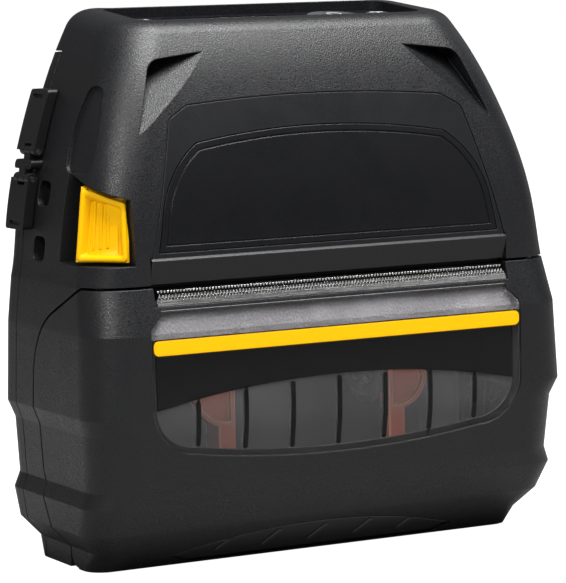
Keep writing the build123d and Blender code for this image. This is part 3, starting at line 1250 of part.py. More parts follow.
def door_skin(low, high, front, rear, outset, inset):
    """A piece of skin that stands on the left flank."""
    with BuildSketch(Plane.YZ) as outline:
        with Locations(((front + rear) / 2, (low + high) / 2)):
            RectangleRounded(rear - front, high - low, 1.2)
    return side_skin(outline.sketch, outset, inset, -ASIDE, -50)


def flank_rod(pin, radius, front, rear, mode=Mode.ADD):
    """A bar along Y beside the left flank."""
    rod("y", pin, radius, front, rear, mode=mode)


with BuildPart() as port_hinge_block:
    add(door_skin(113.2, 115.8, DOOR_FRONT, DOOR_REAR - 1, DOOR_OUT, 0.0))
    for pin in (UPPER_PIN, LOWER_PIN):
        flank_rod(pin, DOOR_ROUND, LUG_FRONT, LUG_REAR)
        flat = 114.5 if pin == UPPER_PIN else 114.4
        shift = -0.5 if pin == UPPER_PIN else 0.5
        with BuildSketch(Plane.XZ.offset(-LUG_REAR)) as web:
            with BuildLine():
                Polyline((pin[0] - 1.3, pin[1]), (pin[0] + 1.3, pin[1]), (pin[0] + 1.3 + shift, flat),
                         (pin[0] - 1.3 + shift, flat), close=True)
            make_face()
        extrude(web.sketch, amount=LUG_REAR - LUG_FRONT)
    for pin in (UPPER_PIN, LOWER_PIN):
        flank_rod(pin, DOOR_PIN, 0, 60, mode=Mode.SUBTRACT)
    add(body(0.0), mode=Mode.SUBTRACT)
keep(port_hinge_block, "port_hinge_block")

with BuildPart() as port_pins:
    for pin in (UPPER_PIN, LOWER_PIN):
        flank_rod(pin, DOOR_PIN, DOOR_FRONT + 0.8, KNUCKLE_END - 0.2)
keep(port_pins, "port_pins")

for pin, label, way, reach in ((UPPER_PIN, "port_door_upper", 1, 17.2), (LOWER_PIN, "port_door_lower", -1, 14.6)):
    with BuildPart() as door:
        low, high = sorted((pin[1], pin[1] + way * reach))
        add(door_skin(low - (2 if way > 0 else 0), high + (2 if way < 0 else 0), DOOR_FRONT, DOOR_REAR, DOOR_OUT, DOOR_IN))
        low, high = sorted((pin[1] - way * 9, pin[1]))
        block(-ASIDE, -50, 0, 60, low, high, mode=Mode.SUBTRACT)
        flank_rod(pin, DOOR_ROUND, DOOR_FRONT, KNUCKLE_END)
        block(-ASIDE, -50, LUG_FRONT - 0.4, LUG_REAR + 0.4, pin[1] - 2.0, pin[1] + 2.0, mode=Mode.SUBTRACT)
        flank_rod(pin, DOOR_PIN + RUNNING, 0, 60, mode=Mode.SUBTRACT)
        # Finger lip at the free end
        low, high = sorted((pin[1] + way * (reach - 2.6), pin[1] + way * (reach - 1.2)))
        with BuildSketch(Plane.YZ) as groove:
            with Locations(((DOOR_FRONT + DOOR_REAR) / 2, (low + high) / 2)):
                RectangleRounded(7, 1.2, 0.5)
        add(side_skin(groove.sketch, DOOR_OUT - 2, DOOR_OUT + 0.6, -ASIDE, -50), mode=Mode.SUBTRACT)
    keep(door, label)

# Sockets in the wall openings behind the doors
with BuildPart() as power_socket:
    block(-67.5, -58.0, 15.5, 25.5, 120.9, 131.9)
    with BuildSketch(Plane.YZ.offset(-68)) as ring:
        with Locations((20.5, 126.4)):
            Circle(3.6)
            Circle(1.2, mode=Mode.SUBTRACT)
    extrude(ring.sketch, amount=7, mode=Mode.SUBTRACT)
    add(body(WALL - 0.4), mode=Mode.INTERSECT)
keep(power_socket, "power_socket")

with BuildPart() as data_socket:
    block(-70.5, -60.0, 15.5, 25.5, 99.4, 107.4)
    block(-71, -64.0, 16.6, 24.4, 101.0, 105.8, mode=Mode.SUBTRACT)
    block(-70.0, -64.0, 17.6, 23.4, 102.9, 103.9)
    add(body(WALL - 0.4), mode=Mode.INTERSECT)
keep(data_socket, "data_socket")
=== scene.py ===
"""Portable label printer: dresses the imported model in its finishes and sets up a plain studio."""

import json
import logging
import math
from dataclasses import dataclass, field
from enum import Enum
from typing import ClassVar

import bmesh
import bpy
from mathutils import Matrix, Vector

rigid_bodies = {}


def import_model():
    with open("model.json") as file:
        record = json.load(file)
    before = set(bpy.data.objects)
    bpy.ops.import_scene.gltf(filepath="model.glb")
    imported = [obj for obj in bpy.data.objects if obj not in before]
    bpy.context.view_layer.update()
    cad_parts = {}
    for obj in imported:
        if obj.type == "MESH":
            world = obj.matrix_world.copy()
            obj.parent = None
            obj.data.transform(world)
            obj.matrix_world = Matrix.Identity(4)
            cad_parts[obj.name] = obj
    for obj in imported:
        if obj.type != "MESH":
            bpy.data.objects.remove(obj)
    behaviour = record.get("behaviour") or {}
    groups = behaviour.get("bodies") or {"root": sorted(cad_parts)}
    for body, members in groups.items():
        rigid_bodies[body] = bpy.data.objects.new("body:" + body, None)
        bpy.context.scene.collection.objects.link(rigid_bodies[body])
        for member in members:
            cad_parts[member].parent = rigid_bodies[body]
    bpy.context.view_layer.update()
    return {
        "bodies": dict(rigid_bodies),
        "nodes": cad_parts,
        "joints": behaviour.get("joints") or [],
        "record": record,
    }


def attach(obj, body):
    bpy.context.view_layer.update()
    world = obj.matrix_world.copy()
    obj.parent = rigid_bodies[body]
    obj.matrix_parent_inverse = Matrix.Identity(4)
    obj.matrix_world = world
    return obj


LOG = logging.getLogger("label_printer")
Colour = tuple[float, float, float]
Point = tuple[float, float, float]
Spot = tuple[float, float]
Profile = tuple[Spot, ...]


class Lay(Enum):
    """Which way the drawn lines of a metal run."""

    ACROSS = (1.0, 0.04, 1.0)
    UPRIGHT = (1.0, 1.0, 0.04)
    SIDEWAYS = (0.04, 1.0, 1.0)


# Shader node groups that more than one finish uses


def new_group(name: str, inputs: dict[str, float], outputs: dict[str, str]) -> bpy.types.NodeTree:
    """Start a shader node group with float inputs and named outputs.

    Args:
        name: The group's name.
        inputs: Default value of each float input.
        outputs: Socket type of each output.

    Returns:
        The group's node tree.
    """
    tree = bpy.data.node_groups.new(name, "ShaderNodeTree")
    for label, value in inputs.items():
        socket = tree.interface.new_socket(name=label, in_out="INPUT", socket_type="NodeSocketFloat")
        socket.default_value = value
    for label, kind in outputs.items():
        tree.interface.new_socket(name=label, in_out="OUTPUT", socket_type=kind)
    return tree


def place(tree: bpy.types.NodeTree, kind: str, **settings: object) -> bpy.types.Node:
    """Add a node and set its properties; a key of the form in_Name sets an input's value.

    Args:
        tree: The tree that gets the node.
        kind: The node's type name.
        **settings: Properties and input values.

    Returns:
        The new node.
    """
    node = tree.nodes.new(kind)
    for key, value in settings.items():
        if key.startswith("in_"):
            label = key[3:].replace("_", " ")
            node.inputs[int(label) if label.isdigit() else label].default_value = value
        else:
            setattr(node, key, value)
    return node


def mapped(
    tree: bpy.types.NodeTree, low: float, high: float, to_low: float = 0.0, to_high: float = 1.0
) -> bpy.types.Node:
    """Add a node that turns one range of values into another.

    Args:
        tree: The tree that gets the node.
        low: Start of the range that comes in.
        high: End of the range that comes in.
        to_low: Start of the range that goes out.
        to_high: End of the range that goes out.

    Returns:
        The new node.
    """
    return place(
        tree, "ShaderNodeMapRange", in_From_Min=low, in_From_Max=high, in_To_Min=to_low, in_To_Max=to_high
    )


def wire(tree: bpy.types.NodeTree, *ways: tuple[bpy.types.Node, str | int, bpy.types.Node, str | int]) -> None:
    """Link nodes.

    Args:
        tree: The nodes' tree.
        *ways: For each link a node, its output, the next node and its input.
    """
    for source, leaving, target, entering in ways:
        tree.links.new(source.outputs[leaving], target.inputs[entering])


def moulded_grain() -> bpy.types.NodeTree:
    """Spark-eroded mould texture: a fine pebbled height and a faint blotchy tint.

    Returns:
        The group's node tree.
    """
    tree = new_group(
        "Moulded grain",
        {"Grain": 2600.0, "Blotch": 45.0},
        {"Height": "NodeSocketFloat", "Tint": "NodeSocketFloat", "Gloss": "NodeSocketFloat"},
    )
    enter = place(tree, "NodeGroupInput")
    leave = place(tree, "NodeGroupOutput")
    where = place(tree, "ShaderNodeTexCoord")
    fine = place(tree, "ShaderNodeTexNoise", in_Detail=2.5, in_Roughness=0.62)
    pits = place(tree, "ShaderNodeTexVoronoi", feature="SMOOTH_F1")
    scale = place(tree, "ShaderNodeMath", operation="MULTIPLY", in_1=0.9)
    both = place(tree, "ShaderNodeMath", operation="ADD")
    blotch = place(tree, "ShaderNodeTexNoise", in_Detail=3.0, in_Roughness=0.55)
    tint = mapped(tree, 0.3, 0.7, -1.0, 1.0)
    gloss = mapped(tree, 0.35, 0.65)
    wire(
        tree,
        (where, "Object", fine, "Vector"), (where, "Object", pits, "Vector"), (where, "Object", blotch, "Vector"),
        (enter, "Grain", fine, "Scale"), (enter, "Grain", scale, 0), (scale, 0, pits, "Scale"),
        (enter, "Blotch", blotch, "Scale"), (fine, "Fac", both, 0), (pits, "Distance", both, 1),
        (both, 0, leave, "Height"), (blotch, "Fac", tint, "Value"), (tint, "Result", leave, "Tint"),
        (fine, "Fac", gloss, "Value"), (gloss, "Result", leave, "Gloss"),
    )
    return tree


def handling_marks() -> bpy.types.NodeTree:
    """Fine scuffs and finger smudges, as two masks.

    Returns:
        The group's node tree.
    """
    tree = new_group(
        "Handling marks",
        {"Size": 60.0},
        {"Smudge": "NodeSocketFloat", "Scuff": "NodeSocketFloat"},
    )
    enter = place(tree, "NodeGroupInput")
    leave = place(tree, "NodeGroupOutput")
    where = place(tree, "ShaderNodeTexCoord")
    cloud = place(tree, "ShaderNodeTexNoise", in_Detail=4.0, in_Roughness=0.6, in_Distortion=0.4)
    smudge = mapped(tree, 0.48, 0.7)
    stretch = place(tree, "ShaderNodeMapping", in_Scale=(0.35, 1.0, 6.0), in_Rotation=(0.3, 0.5, 0.2))
    lines = place(tree, "ShaderNodeTexNoise", in_Detail=2.0, in_Roughness=0.5)
    faster = place(tree, "ShaderNodeMath", operation="MULTIPLY", in_1=9.0)
    scuff = mapped(tree, 0.66, 0.74)
    wire(
        tree,
        (where, "Object", cloud, "Vector"), (where, "Object", stretch, "Vector"),
        (stretch, "Vector", lines, "Vector"), (enter, "Size", cloud, "Scale"), (enter, "Size", faster, 0),
        (faster, 0, lines, "Scale"), (cloud, "Fac", smudge, "Value"), (lines, "Fac", scuff, "Value"),
        (smudge, "Result", leave, "Smudge"), (scuff, "Result", leave, "Scuff"),
    )
    return tree


def edge_highlight_and_rounding() -> bpy.types.NodeTree:
    """A mask along convex and concave edges, which the plastics use to paint a highlight there, and the normal that
    softens them.

    Returns:
        The group's node tree.
    """
    tree = new_group(
        "Edge highlight and rounding",
        {"Radius": 0.0004},
        {"Edge": "NodeSocketFloat", "Normal": "NodeSocketVector"},
    )
    enter = place(tree, "NodeGroupInput")
    leave = place(tree, "NodeGroupOutput")
    soft = place(tree, "ShaderNodeBevel", samples=4)
    shape = place(tree, "ShaderNodeNewGeometry")
    dot = place(tree, "ShaderNodeVectorMath", operation="DOT_PRODUCT")
    edge = mapped(tree, 0.995, 0.93)
    wire(
        tree,
        (enter, "Radius", soft, "Radius"), (soft, "Normal", dot, 0), (shape, "Normal", dot, 1),
        (dot, "Value", edge, "Value"), (edge, "Result", leave, "Edge"), (soft, "Normal", leave, "Normal"),
    )
    return tree


def drawn_lines() -> bpy.types.NodeTree:
    """Brushing or drawing lines on metal, as a height and a mask.

    Returns:
        The group's node tree.
    """
    tree = new_group(
        "Drawn lines",
        {"Along X": 1.0, "Along Y": 1.0, "Along Z": 1.0, "Fineness": 3000.0},
        {"Height": "NodeSocketFloat", "Shade": "NodeSocketFloat"},
    )
    enter = place(tree, "NodeGroupInput")
    leave = place(tree, "NodeGroupOutput")
    where = place(tree, "ShaderNodeTexCoord")
    stretch = place(tree, "ShaderNodeCombineXYZ")
    product = place(tree, "ShaderNodeVectorMath", operation="MULTIPLY")
    lines = place(tree, "ShaderNodeTexNoise", in_Detail=3.0, in_Roughness=0.7)
    shade = mapped(tree, 0.3, 0.7)
    for axis in ("X", "Y", "Z"):
        wire(tree, (enter, f"Along {axis}", stretch, axis))
    wire(
        tree,
        (where, "Object", product, 0), (stretch, "Vector", product, 1), (product, "Vector", lines, "Vector"),
        (enter, "Fineness", lines, "Scale"), (lines, "Fac", shade, "Value"), (lines, "Fac", leave, "Height"),
        (shade, "Result", leave, "Shade"),
    )
    return tree


GROUPS: dict[str, bpy.types.NodeTree] = {}


def group_node(tree: bpy.types.NodeTree, name: str, **values: float) -> bpy.types.Node:
    """Place one of the shared groups in a material.

    Args:
        tree: The material's node tree.
        name: The group's name.
        **values: Input values, with underscores for spaces.

    Returns:
        The group node.
    """
    makers = {
        "Moulded grain": moulded_grain,
        "Handling marks": handling_marks,
        "Edge highlight and rounding": edge_highlight_and_rounding,
        "Drawn lines": drawn_lines,
    }
    if name not in GROUPS:
        GROUPS[name] = makers[name]()
    node = tree.nodes.new("ShaderNodeGroup")
    node.node_tree = GROUPS[name]
    for label, value in values.items():
        node.inputs[label.replace("_", " ")].default_value = value
    return node


def shift(colour: Colour, gain: float) -> tuple[float, float, float, float]:
    """A colour made lighter or darker by a factor, with full alpha."""
    return (*(min(part * gain, 1.0) for part in colour), 1.0)


def blank_material(name: str) -> tuple[bpy.types.Material, bpy.types.NodeTree, bpy.types.Node]:
    """A new material with its tree and its Principled shader.

    Args:
        name: The material's name.

    Returns:
        The material, its node tree and the shader.
    """
    material = bpy.data.materials.new(name)
    material.use_nodes = True
    tree = material.node_tree
    return material, tree, tree.nodes["Principled BSDF"]


def mixed_colour(
    tree: bpy.types.NodeTree, mask: bpy.types.NodeSocket, low: object, high: object
) -> bpy.types.NodeSocket:
    """Mix two colours, or sockets that give colours, by a mask.

    Args:
        tree: The material's node tree.
        mask: Socket of the mask.
        low: Colour or socket where the mask is 0.
        high: Colour or socket where the mask is 1.

    Returns:
        The socket of the mixed colour.
    """
    node = place(tree, "ShaderNodeMix", data_type="RGBA")
    tree.links.new(mask, node.inputs["Factor"])
    for index, value in ((6, low), (7, high)):
        if isinstance(value, bpy.types.NodeSocket):
            tree.links.new(value, node.inputs[index])
        else:
            node.inputs[index].default_value = value
    return node.outputs[2]


def ranged(
    tree: bpy.types.NodeTree, mask: bpy.types.NodeSocket, low: float, high: float
) -> bpy.types.NodeSocket:
    """Turn a mask from 0 to 1 into a value from low to high.

    Args:
        tree: The material's node tree.
        mask: Socket of the mask.
        low: Value where the mask is 0.
        high: Value where the mask is 1.

    Returns:
        The socket of the value.
    """
    node = mapped(tree, 0.0, 1.0, low, high)
    tree.links.new(mask, node.inputs["Value"])
    return node.outputs["Result"]


def raise_surface(
    tree: bpy.types.NodeTree, shader: bpy.types.Node, height: bpy.types.NodeSocket, strength: float, depth: float,
    edges: bpy.types.Node | None = None,
) -> None:
    """Give a shader a bump.

    Args:
        tree: The material's node tree.
        shader: The shader that gets the normal.
        height: Socket of the height.
        strength: How strongly the bump tells.
        depth: Height of the bump, in metres.
        edges: The group that softens the edges under the bump.
    """
    bump = place(tree, "ShaderNodeBump", in_Strength=strength, in_Distance=depth)
    tree.links.new(height, bump.inputs["Height"])
    if edges is not None:
        wire(tree, (edges, "Normal", bump, "Normal"))
    wire(tree, (bump, "Normal", shader, "Normal"))


@dataclass(frozen=True)
class MouldedPlastic:
    """Injection-moulded plastic with a mould texture, soft edges with a painted highlight along them, and light
    handling marks.
    """

    name: str
    colour: Colour
    roughness: float = 0.5
    grain: float = 2600.0
    depth: float = 0.00003
    spread: float = 0.12
    mottle: float = 0.10
    specular: float = 0.2
    edge_radius: float = 0.0004
    edge_highlight: float = 1.35
    edge_share: ClassVar[float] = 0.55
    scuff_light: ClassVar[float] = 1.8
    scuff_share: ClassVar[float] = 0.18
    smudge_gloss: ClassVar[float] = 0.06
    ior: ClassVar[float] = 1.5

    def build(self) -> bpy.types.Material:
        """Make the material.

        Returns:
            The finished material.
        """
        material, tree, shader = blank_material(self.name)
        grain = group_node(tree, "Moulded grain", Grain=self.grain)
        marks = group_node(tree, "Handling marks")
        edges = group_node(tree, "Edge highlight and rounding", Radius=self.edge_radius)
        tint = ranged(tree, grain.outputs["Tint"], 0.5, 1.0)
        body = mixed_colour(tree, tint, shift(self.colour, 1 - self.mottle), shift(self.colour, 1 + self.mottle))
        scuff = ranged(tree, marks.outputs["Scuff"], 0.0, self.scuff_share)
        marked = mixed_colour(tree, scuff, body, shift(self.colour, self.scuff_light))
        # Painted highlight: the colour turns lighter along the edges, standing in for light caught on them, with some
        # edge wear in it.
        edge = ranged(tree, edges.outputs["Edge"], 0.0, self.edge_share)
        edge_highlighted = mixed_colour(tree, edge, marked, shift(self.colour, self.edge_highlight))
        tree.links.new(edge_highlighted, shader.inputs["Base Color"])
        rough = ranged(tree, grain.outputs["Gloss"], self.roughness - self.spread / 2, self.roughness + self.spread / 2)
        smudged = place(tree, "ShaderNodeMath", operation="MULTIPLY_ADD", in_1=-self.smudge_gloss)
        wire(tree, (marks, "Smudge", smudged, 0))
        tree.links.new(rough, smudged.inputs[2])
        wire(tree, (smudged, 0, shader, "Roughness"))
        raise_surface(tree, shader, grain.outputs["Height"], 1.0, self.depth, edges)
        shader.inputs["IOR"].default_value = self.ior
        shader.inputs["Specular IOR Level"].default_value = self.specular
        return material


@dataclass(frozen=True)
class DrawnMetal:
    """Bright metal with fine lines in one direction."""

    name: str
    colour: Colour
    roughness: float = 0.28
    lay: Lay = Lay.ACROSS
    fineness: float = 3500.0
    depth: float = 0.000006
    edge_radius: ClassVar[float] = 0.00015
    shades: ClassVar[Spot] = (0.86, 1.08)
    sheen_range: ClassVar[Spot] = (-0.06, 0.08)
    strength: ClassVar[float] = 0.8

    def build(self) -> bpy.types.Material:
        """Make the material.

        Returns:
            The finished material.
        """
        material, tree, shader = blank_material(self.name)
        along = self.lay.value
        lines = group_node(
            tree, "Drawn lines", Along_X=along[0], Along_Y=along[1], Along_Z=along[2], Fineness=self.fineness
        )
        edges = group_node(tree, "Edge highlight and rounding", Radius=self.edge_radius)
        shade = mixed_colour(tree, lines.outputs["Shade"], *(shift(self.colour, gain) for gain in self.shades))
        tree.links.new(shade, shader.inputs["Base Color"])
        rough = ranged(tree, lines.outputs["Shade"], *(self.roughness + step for step in self.sheen_range))
        tree.links.new(rough, shader.inputs["Roughness"])
        shader.inputs["Metallic"].default_value = 1.0
        raise_surface(tree, shader, lines.outputs["Height"], self.strength, self.depth, edges)
        return material


@dataclass(frozen=True)
class ClearPlastic:
    """Tinted clear plastic, polished, with faint wipe marks; light reaches what lies behind it."""

    name: str
    colour: Colour
    roughness: float = 0.04
    ior: float = 1.49
    mark_size: ClassVar[float] = 40.0
    mark_shade: ClassVar[float] = 0.93
    mark_blur: ClassVar[float] = 0.05

    def build(self) -> bpy.types.Material:
        """Make the material.

        Returns:
            The finished material.
        """
        material, tree, shader = blank_material(self.name)
        marks = group_node(tree, "Handling marks", Size=self.mark_size)
        smudge = marks.outputs["Smudge"]
        tint = mixed_colour(tree, smudge, shift(self.colour, 1.0), shift(self.colour, self.mark_shade))
        tree.links.new(tint, shader.inputs["Base Color"])
        rough = ranged(tree, smudge, self.roughness, self.roughness + self.mark_blur)
        tree.links.new(rough, shader.inputs["Roughness"])
        shader.inputs["Transmission Weight"].default_value = 1.0
        shader.inputs["IOR"].default_value = self.ior
        clear = place(tree, "ShaderNodeBsdfTransparent", in_Color=shift(self.colour, 1.0))
        path = place(tree, "ShaderNodeLightPath")
        blend = place(tree, "ShaderNodeMixShader")
        wire(tree, (path, "Is Shadow Ray", blend, "Fac"), (shader, "BSDF", blend, 1), (clear, "BSDF", blend, 2))
        tree.links.new(blend.outputs["Shader"], tree.nodes["Material Output"].inputs["Surface"])
        return material


@dataclass(frozen=True)
class SoftRubber:
    """Matt rubber with a fine skin and a faint bloom."""

    name: str
    colour: Colour
    roughness: float = 0.72
    grain: float = 4200.0
    sheen: float = 0.15
    specular: float = 0.3
    blotch: ClassVar[float] = 80.0
    edge_radius: ClassVar[float] = 0.0003
    shades: ClassVar[Spot] = (0.85, 1.2)
    gloss_swing: ClassVar[float] = 0.08
    strength: ClassVar[float] = 0.7
    depth: ClassVar[float] = 0.00001

    def build(self) -> bpy.types.Material:
        """Make the material.

        Returns:
            The finished material.
        """
        material, tree, shader = blank_material(self.name)
        grain = group_node(tree, "Moulded grain", Grain=self.grain, Blotch=self.blotch)
        edges = group_node(tree, "Edge highlight and rounding", Radius=self.edge_radius)
        gloss = grain.outputs["Gloss"]
        bloom = mixed_colour(tree, gloss, *(shift(self.colour, gain) for gain in self.shades))
        tree.links.new(bloom, shader.inputs["Base Color"])
        rough = ranged(tree, gloss, self.roughness - self.gloss_swing, self.roughness + self.gloss_swing)
        tree.links.new(rough, shader.inputs["Roughness"])
        raise_surface(tree, shader, grain.outputs["Height"], self.strength, self.depth, edges)
        shader.inputs["Sheen Weight"].default_value = self.sheen
        shader.inputs["Specular IOR Level"].default_value = self.specular
        return material


@dataclass(frozen=True)
class CircuitLacquer:
    """Solder-masked board with tracks and pads."""

    name: str
    colour: Colour
    copper: Colour = (0.55, 0.42, 0.16)
    pitch: float = 420.0
    track_width: ClassVar[float] = 0.012
    track_light: ClassVar[float] = 1.7
    pad_spread: ClassVar[float] = 0.8
    pad_random: ClassVar[float] = 0.3
    pad_size: ClassVar[float] = 0.2
    gloss: ClassVar[Spot] = (0.28, 0.4)
    strength: ClassVar[float] = 0.5
    depth: ClassVar[float] = 0.00003

    def build(self) -> bpy.types.Material:
        """Make the material.

        Returns:
            The finished material.
        """
        material, tree, shader = blank_material(self.name)
        where = place(tree, "ShaderNodeTexCoord")
        tracks = place(tree, "ShaderNodeTexBrick", in_Scale=self.pitch, in_Mortar_Size=self.track_width, offset=0.5)
        pads = place(
            tree, "ShaderNodeTexVoronoi", in_Scale=self.pitch * self.pad_spread, in_Randomness=self.pad_random
        )
        pad = place(tree, "ShaderNodeMath", operation="LESS_THAN", in_1=self.pad_size)
        turned = place(tree, "ShaderNodeMapping", in_Rotation=(math.pi / 2, 0.0, 0.0))
        wire(
            tree,
            (where, "Object", turned, "Vector"), (turned, "Vector", tracks, "Vector"),
            (where, "Object", pads, "Vector"), (pads, "Distance", pad, 0),
        )
        base = mixed_colour(tree, tracks.outputs["Fac"], shift(self.colour, 1.0), shift(self.colour, self.track_light))
        whole = mixed_colour(tree, pad.outputs[0], base, shift(self.copper, 1.0))
        tree.links.new(whole, shader.inputs["Base Color"])
        tree.links.new(ranged(tree, pad.outputs[0], *self.gloss), shader.inputs["Roughness"])
        raise_surface(tree, shader, tracks.outputs["Fac"], self.strength, self.depth)
        return material


@dataclass(frozen=True)
class HazedFilm:
    """The faint haze that a moulded window shows against a dark inside."""

    name: str
    colour: Colour
    cover: float = 0.10
    grain: ClassVar[float] = 3000.0
    blotch: ClassVar[float] = 60.0
    mark_size: ClassVar[float] = 50.0
    mark_cover: ClassVar[float] = 1.25
    shades: ClassVar[Spot] = (0.85, 1.15)
    roughness: ClassVar[float] = 0.5

    def build(self) -> bpy.types.Material:
        """Make the material.

        Returns:
            The finished material.
        """
        material, tree, shader = blank_material(self.name)
        grain = group_node(tree, "Moulded grain", Grain=self.grain, Blotch=self.blotch)
        marks = group_node(tree, "Handling marks", Size=self.mark_size)
        tint = ranged(tree, grain.outputs["Tint"], 0.5, 1.0)
        cloud = mixed_colour(tree, tint, *(shift(self.colour, gain) for gain in self.shades))
        tree.links.new(cloud, shader.inputs["Base Color"])
        cover = ranged(tree, marks.outputs["Smudge"], self.cover, self.cover * self.mark_cover)
        tree.links.new(cover, shader.inputs["Alpha"])
        shader.inputs["Roughness"].default_value = self.roughness
        shader.inputs["Specular IOR Level"].default_value = 0.0
        return material


@dataclass(frozen=True)
class LiquidCrystal:
    """An unlit display: grey-green glass with a faint grid of dots."""

    name: str
    colour: Colour
    pitch: float = 0.00042
    gap: float = 0.16
    gap_shade: ClassVar[float] = 0.8
    gloss: ClassVar[Spot] = (0.3, 0.22)

    def build(self) -> bpy.types.Material:
        """Make the material.

        Returns:
            The finished material.
        """
        material, tree, shader = blank_material(self.name)
        where = place(tree, "ShaderNodeTexCoord")
        cells = place(tree, "ShaderNodeVectorMath", operation="SCALE", in_Scale=1.0 / self.pitch)
        part = place(tree, "ShaderNodeVectorMath", operation="FRACTION")
        axes = place(tree, "ShaderNodeSeparateXYZ")
        dots = place(tree, "ShaderNodeMath", operation="MULTIPLY")
        wire(
            tree,
            (where, "Object", cells, "Vector"), (cells, "Vector", part, "Vector"), (part, "Vector", axes, "Vector"),
        )
        for index, axis in enumerate(("X", "Y")):
            edge = place(tree, "ShaderNodeMath", operation="GREATER_THAN", in_1=self.gap)
            wire(tree, (axes, axis, edge, 0), (edge, 0, dots, index))
        grid = mixed_colour(tree, dots.outputs[0], shift(self.colour, self.gap_shade), shift(self.colour, 1.0))
        tree.links.new(grid, shader.inputs["Base Color"])
        tree.links.new(ranged(tree, dots.outputs[0], *self.gloss), shader.inputs["Roughness"])
        return material


# edge_highlight lightens the colour along each edge: a painted highlight, strongest on the bezel, the glossy lip and
# the rims of the media arms.
FINISHES = {
    "shell_plastic": MouldedPlastic("Charcoal shell", (0.0084, 0.0087, 0.0097), 0.37, grain=3200.0, depth=0.00006,
                                    spread=0.40, edge_highlight=1.9, specular=0.36),
    "bezel_plastic": MouldedPlastic("Dark bezel", (0.0075, 0.0078, 0.0088), 0.34, grain=4200.0, depth=0.000010,
                                    edge_highlight=9.0, edge_radius=0.0003, specular=0.35),
    "panel_plastic": MouldedPlastic("Satin panel", (0.0052, 0.0054, 0.0062), 0.30, grain=5200.0, depth=0.000005,
                                    specular=0.3),
    "lip_plastic": MouldedPlastic("Glossy lip", (0.0065, 0.0065, 0.0072), 0.18, grain=1500.0, depth=0.000003,
                                  spread=0.05, specular=0.9, edge_highlight=14.0, edge_radius=0.0006),
    "yellow_plastic": MouldedPlastic("Warm yellow", (0.95, 0.51, 0.002), 0.34, grain=1800.0, depth=0.000003,
                                     mottle=0.02, edge_highlight=1.03, spread=0.05, specular=0.12),
    "mask_film": MouldedPlastic("Black print", (0.003, 0.003, 0.0034), 0.16, grain=900.0, depth=0.000002,
                                spread=0.03, specular=0.1),
    "module_plastic": MouldedPlastic("Black module", (0.010, 0.010, 0.011), 0.5, grain=3600.0),
    "bearing_plastic": MouldedPlastic("Natural bearing plastic", (0.55, 0.52, 0.45), 0.42, depth=0.000006),
    "gear_plastic": MouldedPlastic("Natural gear plastic", (0.62, 0.59, 0.52), 0.38, depth=0.000006),
    "head_ceramic": MouldedPlastic("Dark glazed ceramic", (0.030, 0.027, 0.024), 0.22, depth=0.000003, spread=0.05),
    "tub_plastic": MouldedPlastic("Dark tub plastic", (0.17, 0.17, 0.175), 0.42, grain=3200.0, depth=0.00001),
    "media_plastic": MouldedPlastic("Copper media plastic", (0.50, 0.115, 0.060), 0.30, depth=0.000006,
                                    mottle=0.06, edge_highlight=5.0, edge_radius=0.0011),
    "battery_plastic": MouldedPlastic("Battery case", (0.0095, 0.0098, 0.011), 0.5, depth=0.00004),
    "socket_plastic": MouldedPlastic("Socket plastic", (0.006, 0.006, 0.007), 0.3, grain=3800.0),
    "smoked_window": ClearPlastic("Smoked window", (0.92, 0.915, 0.91), ior=1.14),
    "display_glass": ClearPlastic("Display glass", (0.62, 0.64, 0.66), ior=1.3),
    "seal_rubber": SoftRubber("Black seal", (0.006, 0.006, 0.006)),
    "key_rubber": SoftRubber("Key rubber", (0.024, 0.025, 0.028), 0.6),
    "platen_rubber": SoftRubber("Platen rubber", (0.016, 0.016, 0.017), 0.42, grain=1500.0, sheen=0.0),
    "door_rubber": SoftRubber("Door rubber", (0.0035, 0.0036, 0.0041), 0.42, sheen=0.02, specular=0.3),
    "bright_steel": DrawnMetal("Bright steel", (0.80, 0.80, 0.79), 0.24, Lay.SIDEWAYS),
    "shaft_steel": DrawnMetal("Ground steel", (0.60, 0.60, 0.61), 0.24, Lay.SIDEWAYS),
    "plate_steel": DrawnMetal("Black zinc-plated steel", (0.060, 0.060, 0.063), 0.34, Lay.ACROSS),
    "motor_steel": DrawnMetal("Motor can", (0.42, 0.42, 0.43), 0.36, Lay.SIDEWAYS),
    "screw_steel": DrawnMetal("Blackened steel", (0.10, 0.10, 0.105), 0.36, Lay.UPRIGHT),
    "socket_steel": DrawnMetal("Socket steel", (0.66, 0.66, 0.67), 0.28, Lay.ACROSS),
    "sink_aluminium": DrawnMetal("Black anodised aluminium", (0.045, 0.045, 0.048), 0.42, Lay.ACROSS,
                                 fineness=1500.0),
    "pinion_brass": DrawnMetal("Turned brass", (0.72, 0.50, 0.20), 0.26, Lay.UPRIGHT),
    "contact_brass": DrawnMetal("Plated contact", (0.80, 0.58, 0.22), 0.22, Lay.UPRIGHT),
    "circuit_board": CircuitLacquer("Circuit board", (0.012, 0.11, 0.045)),
}

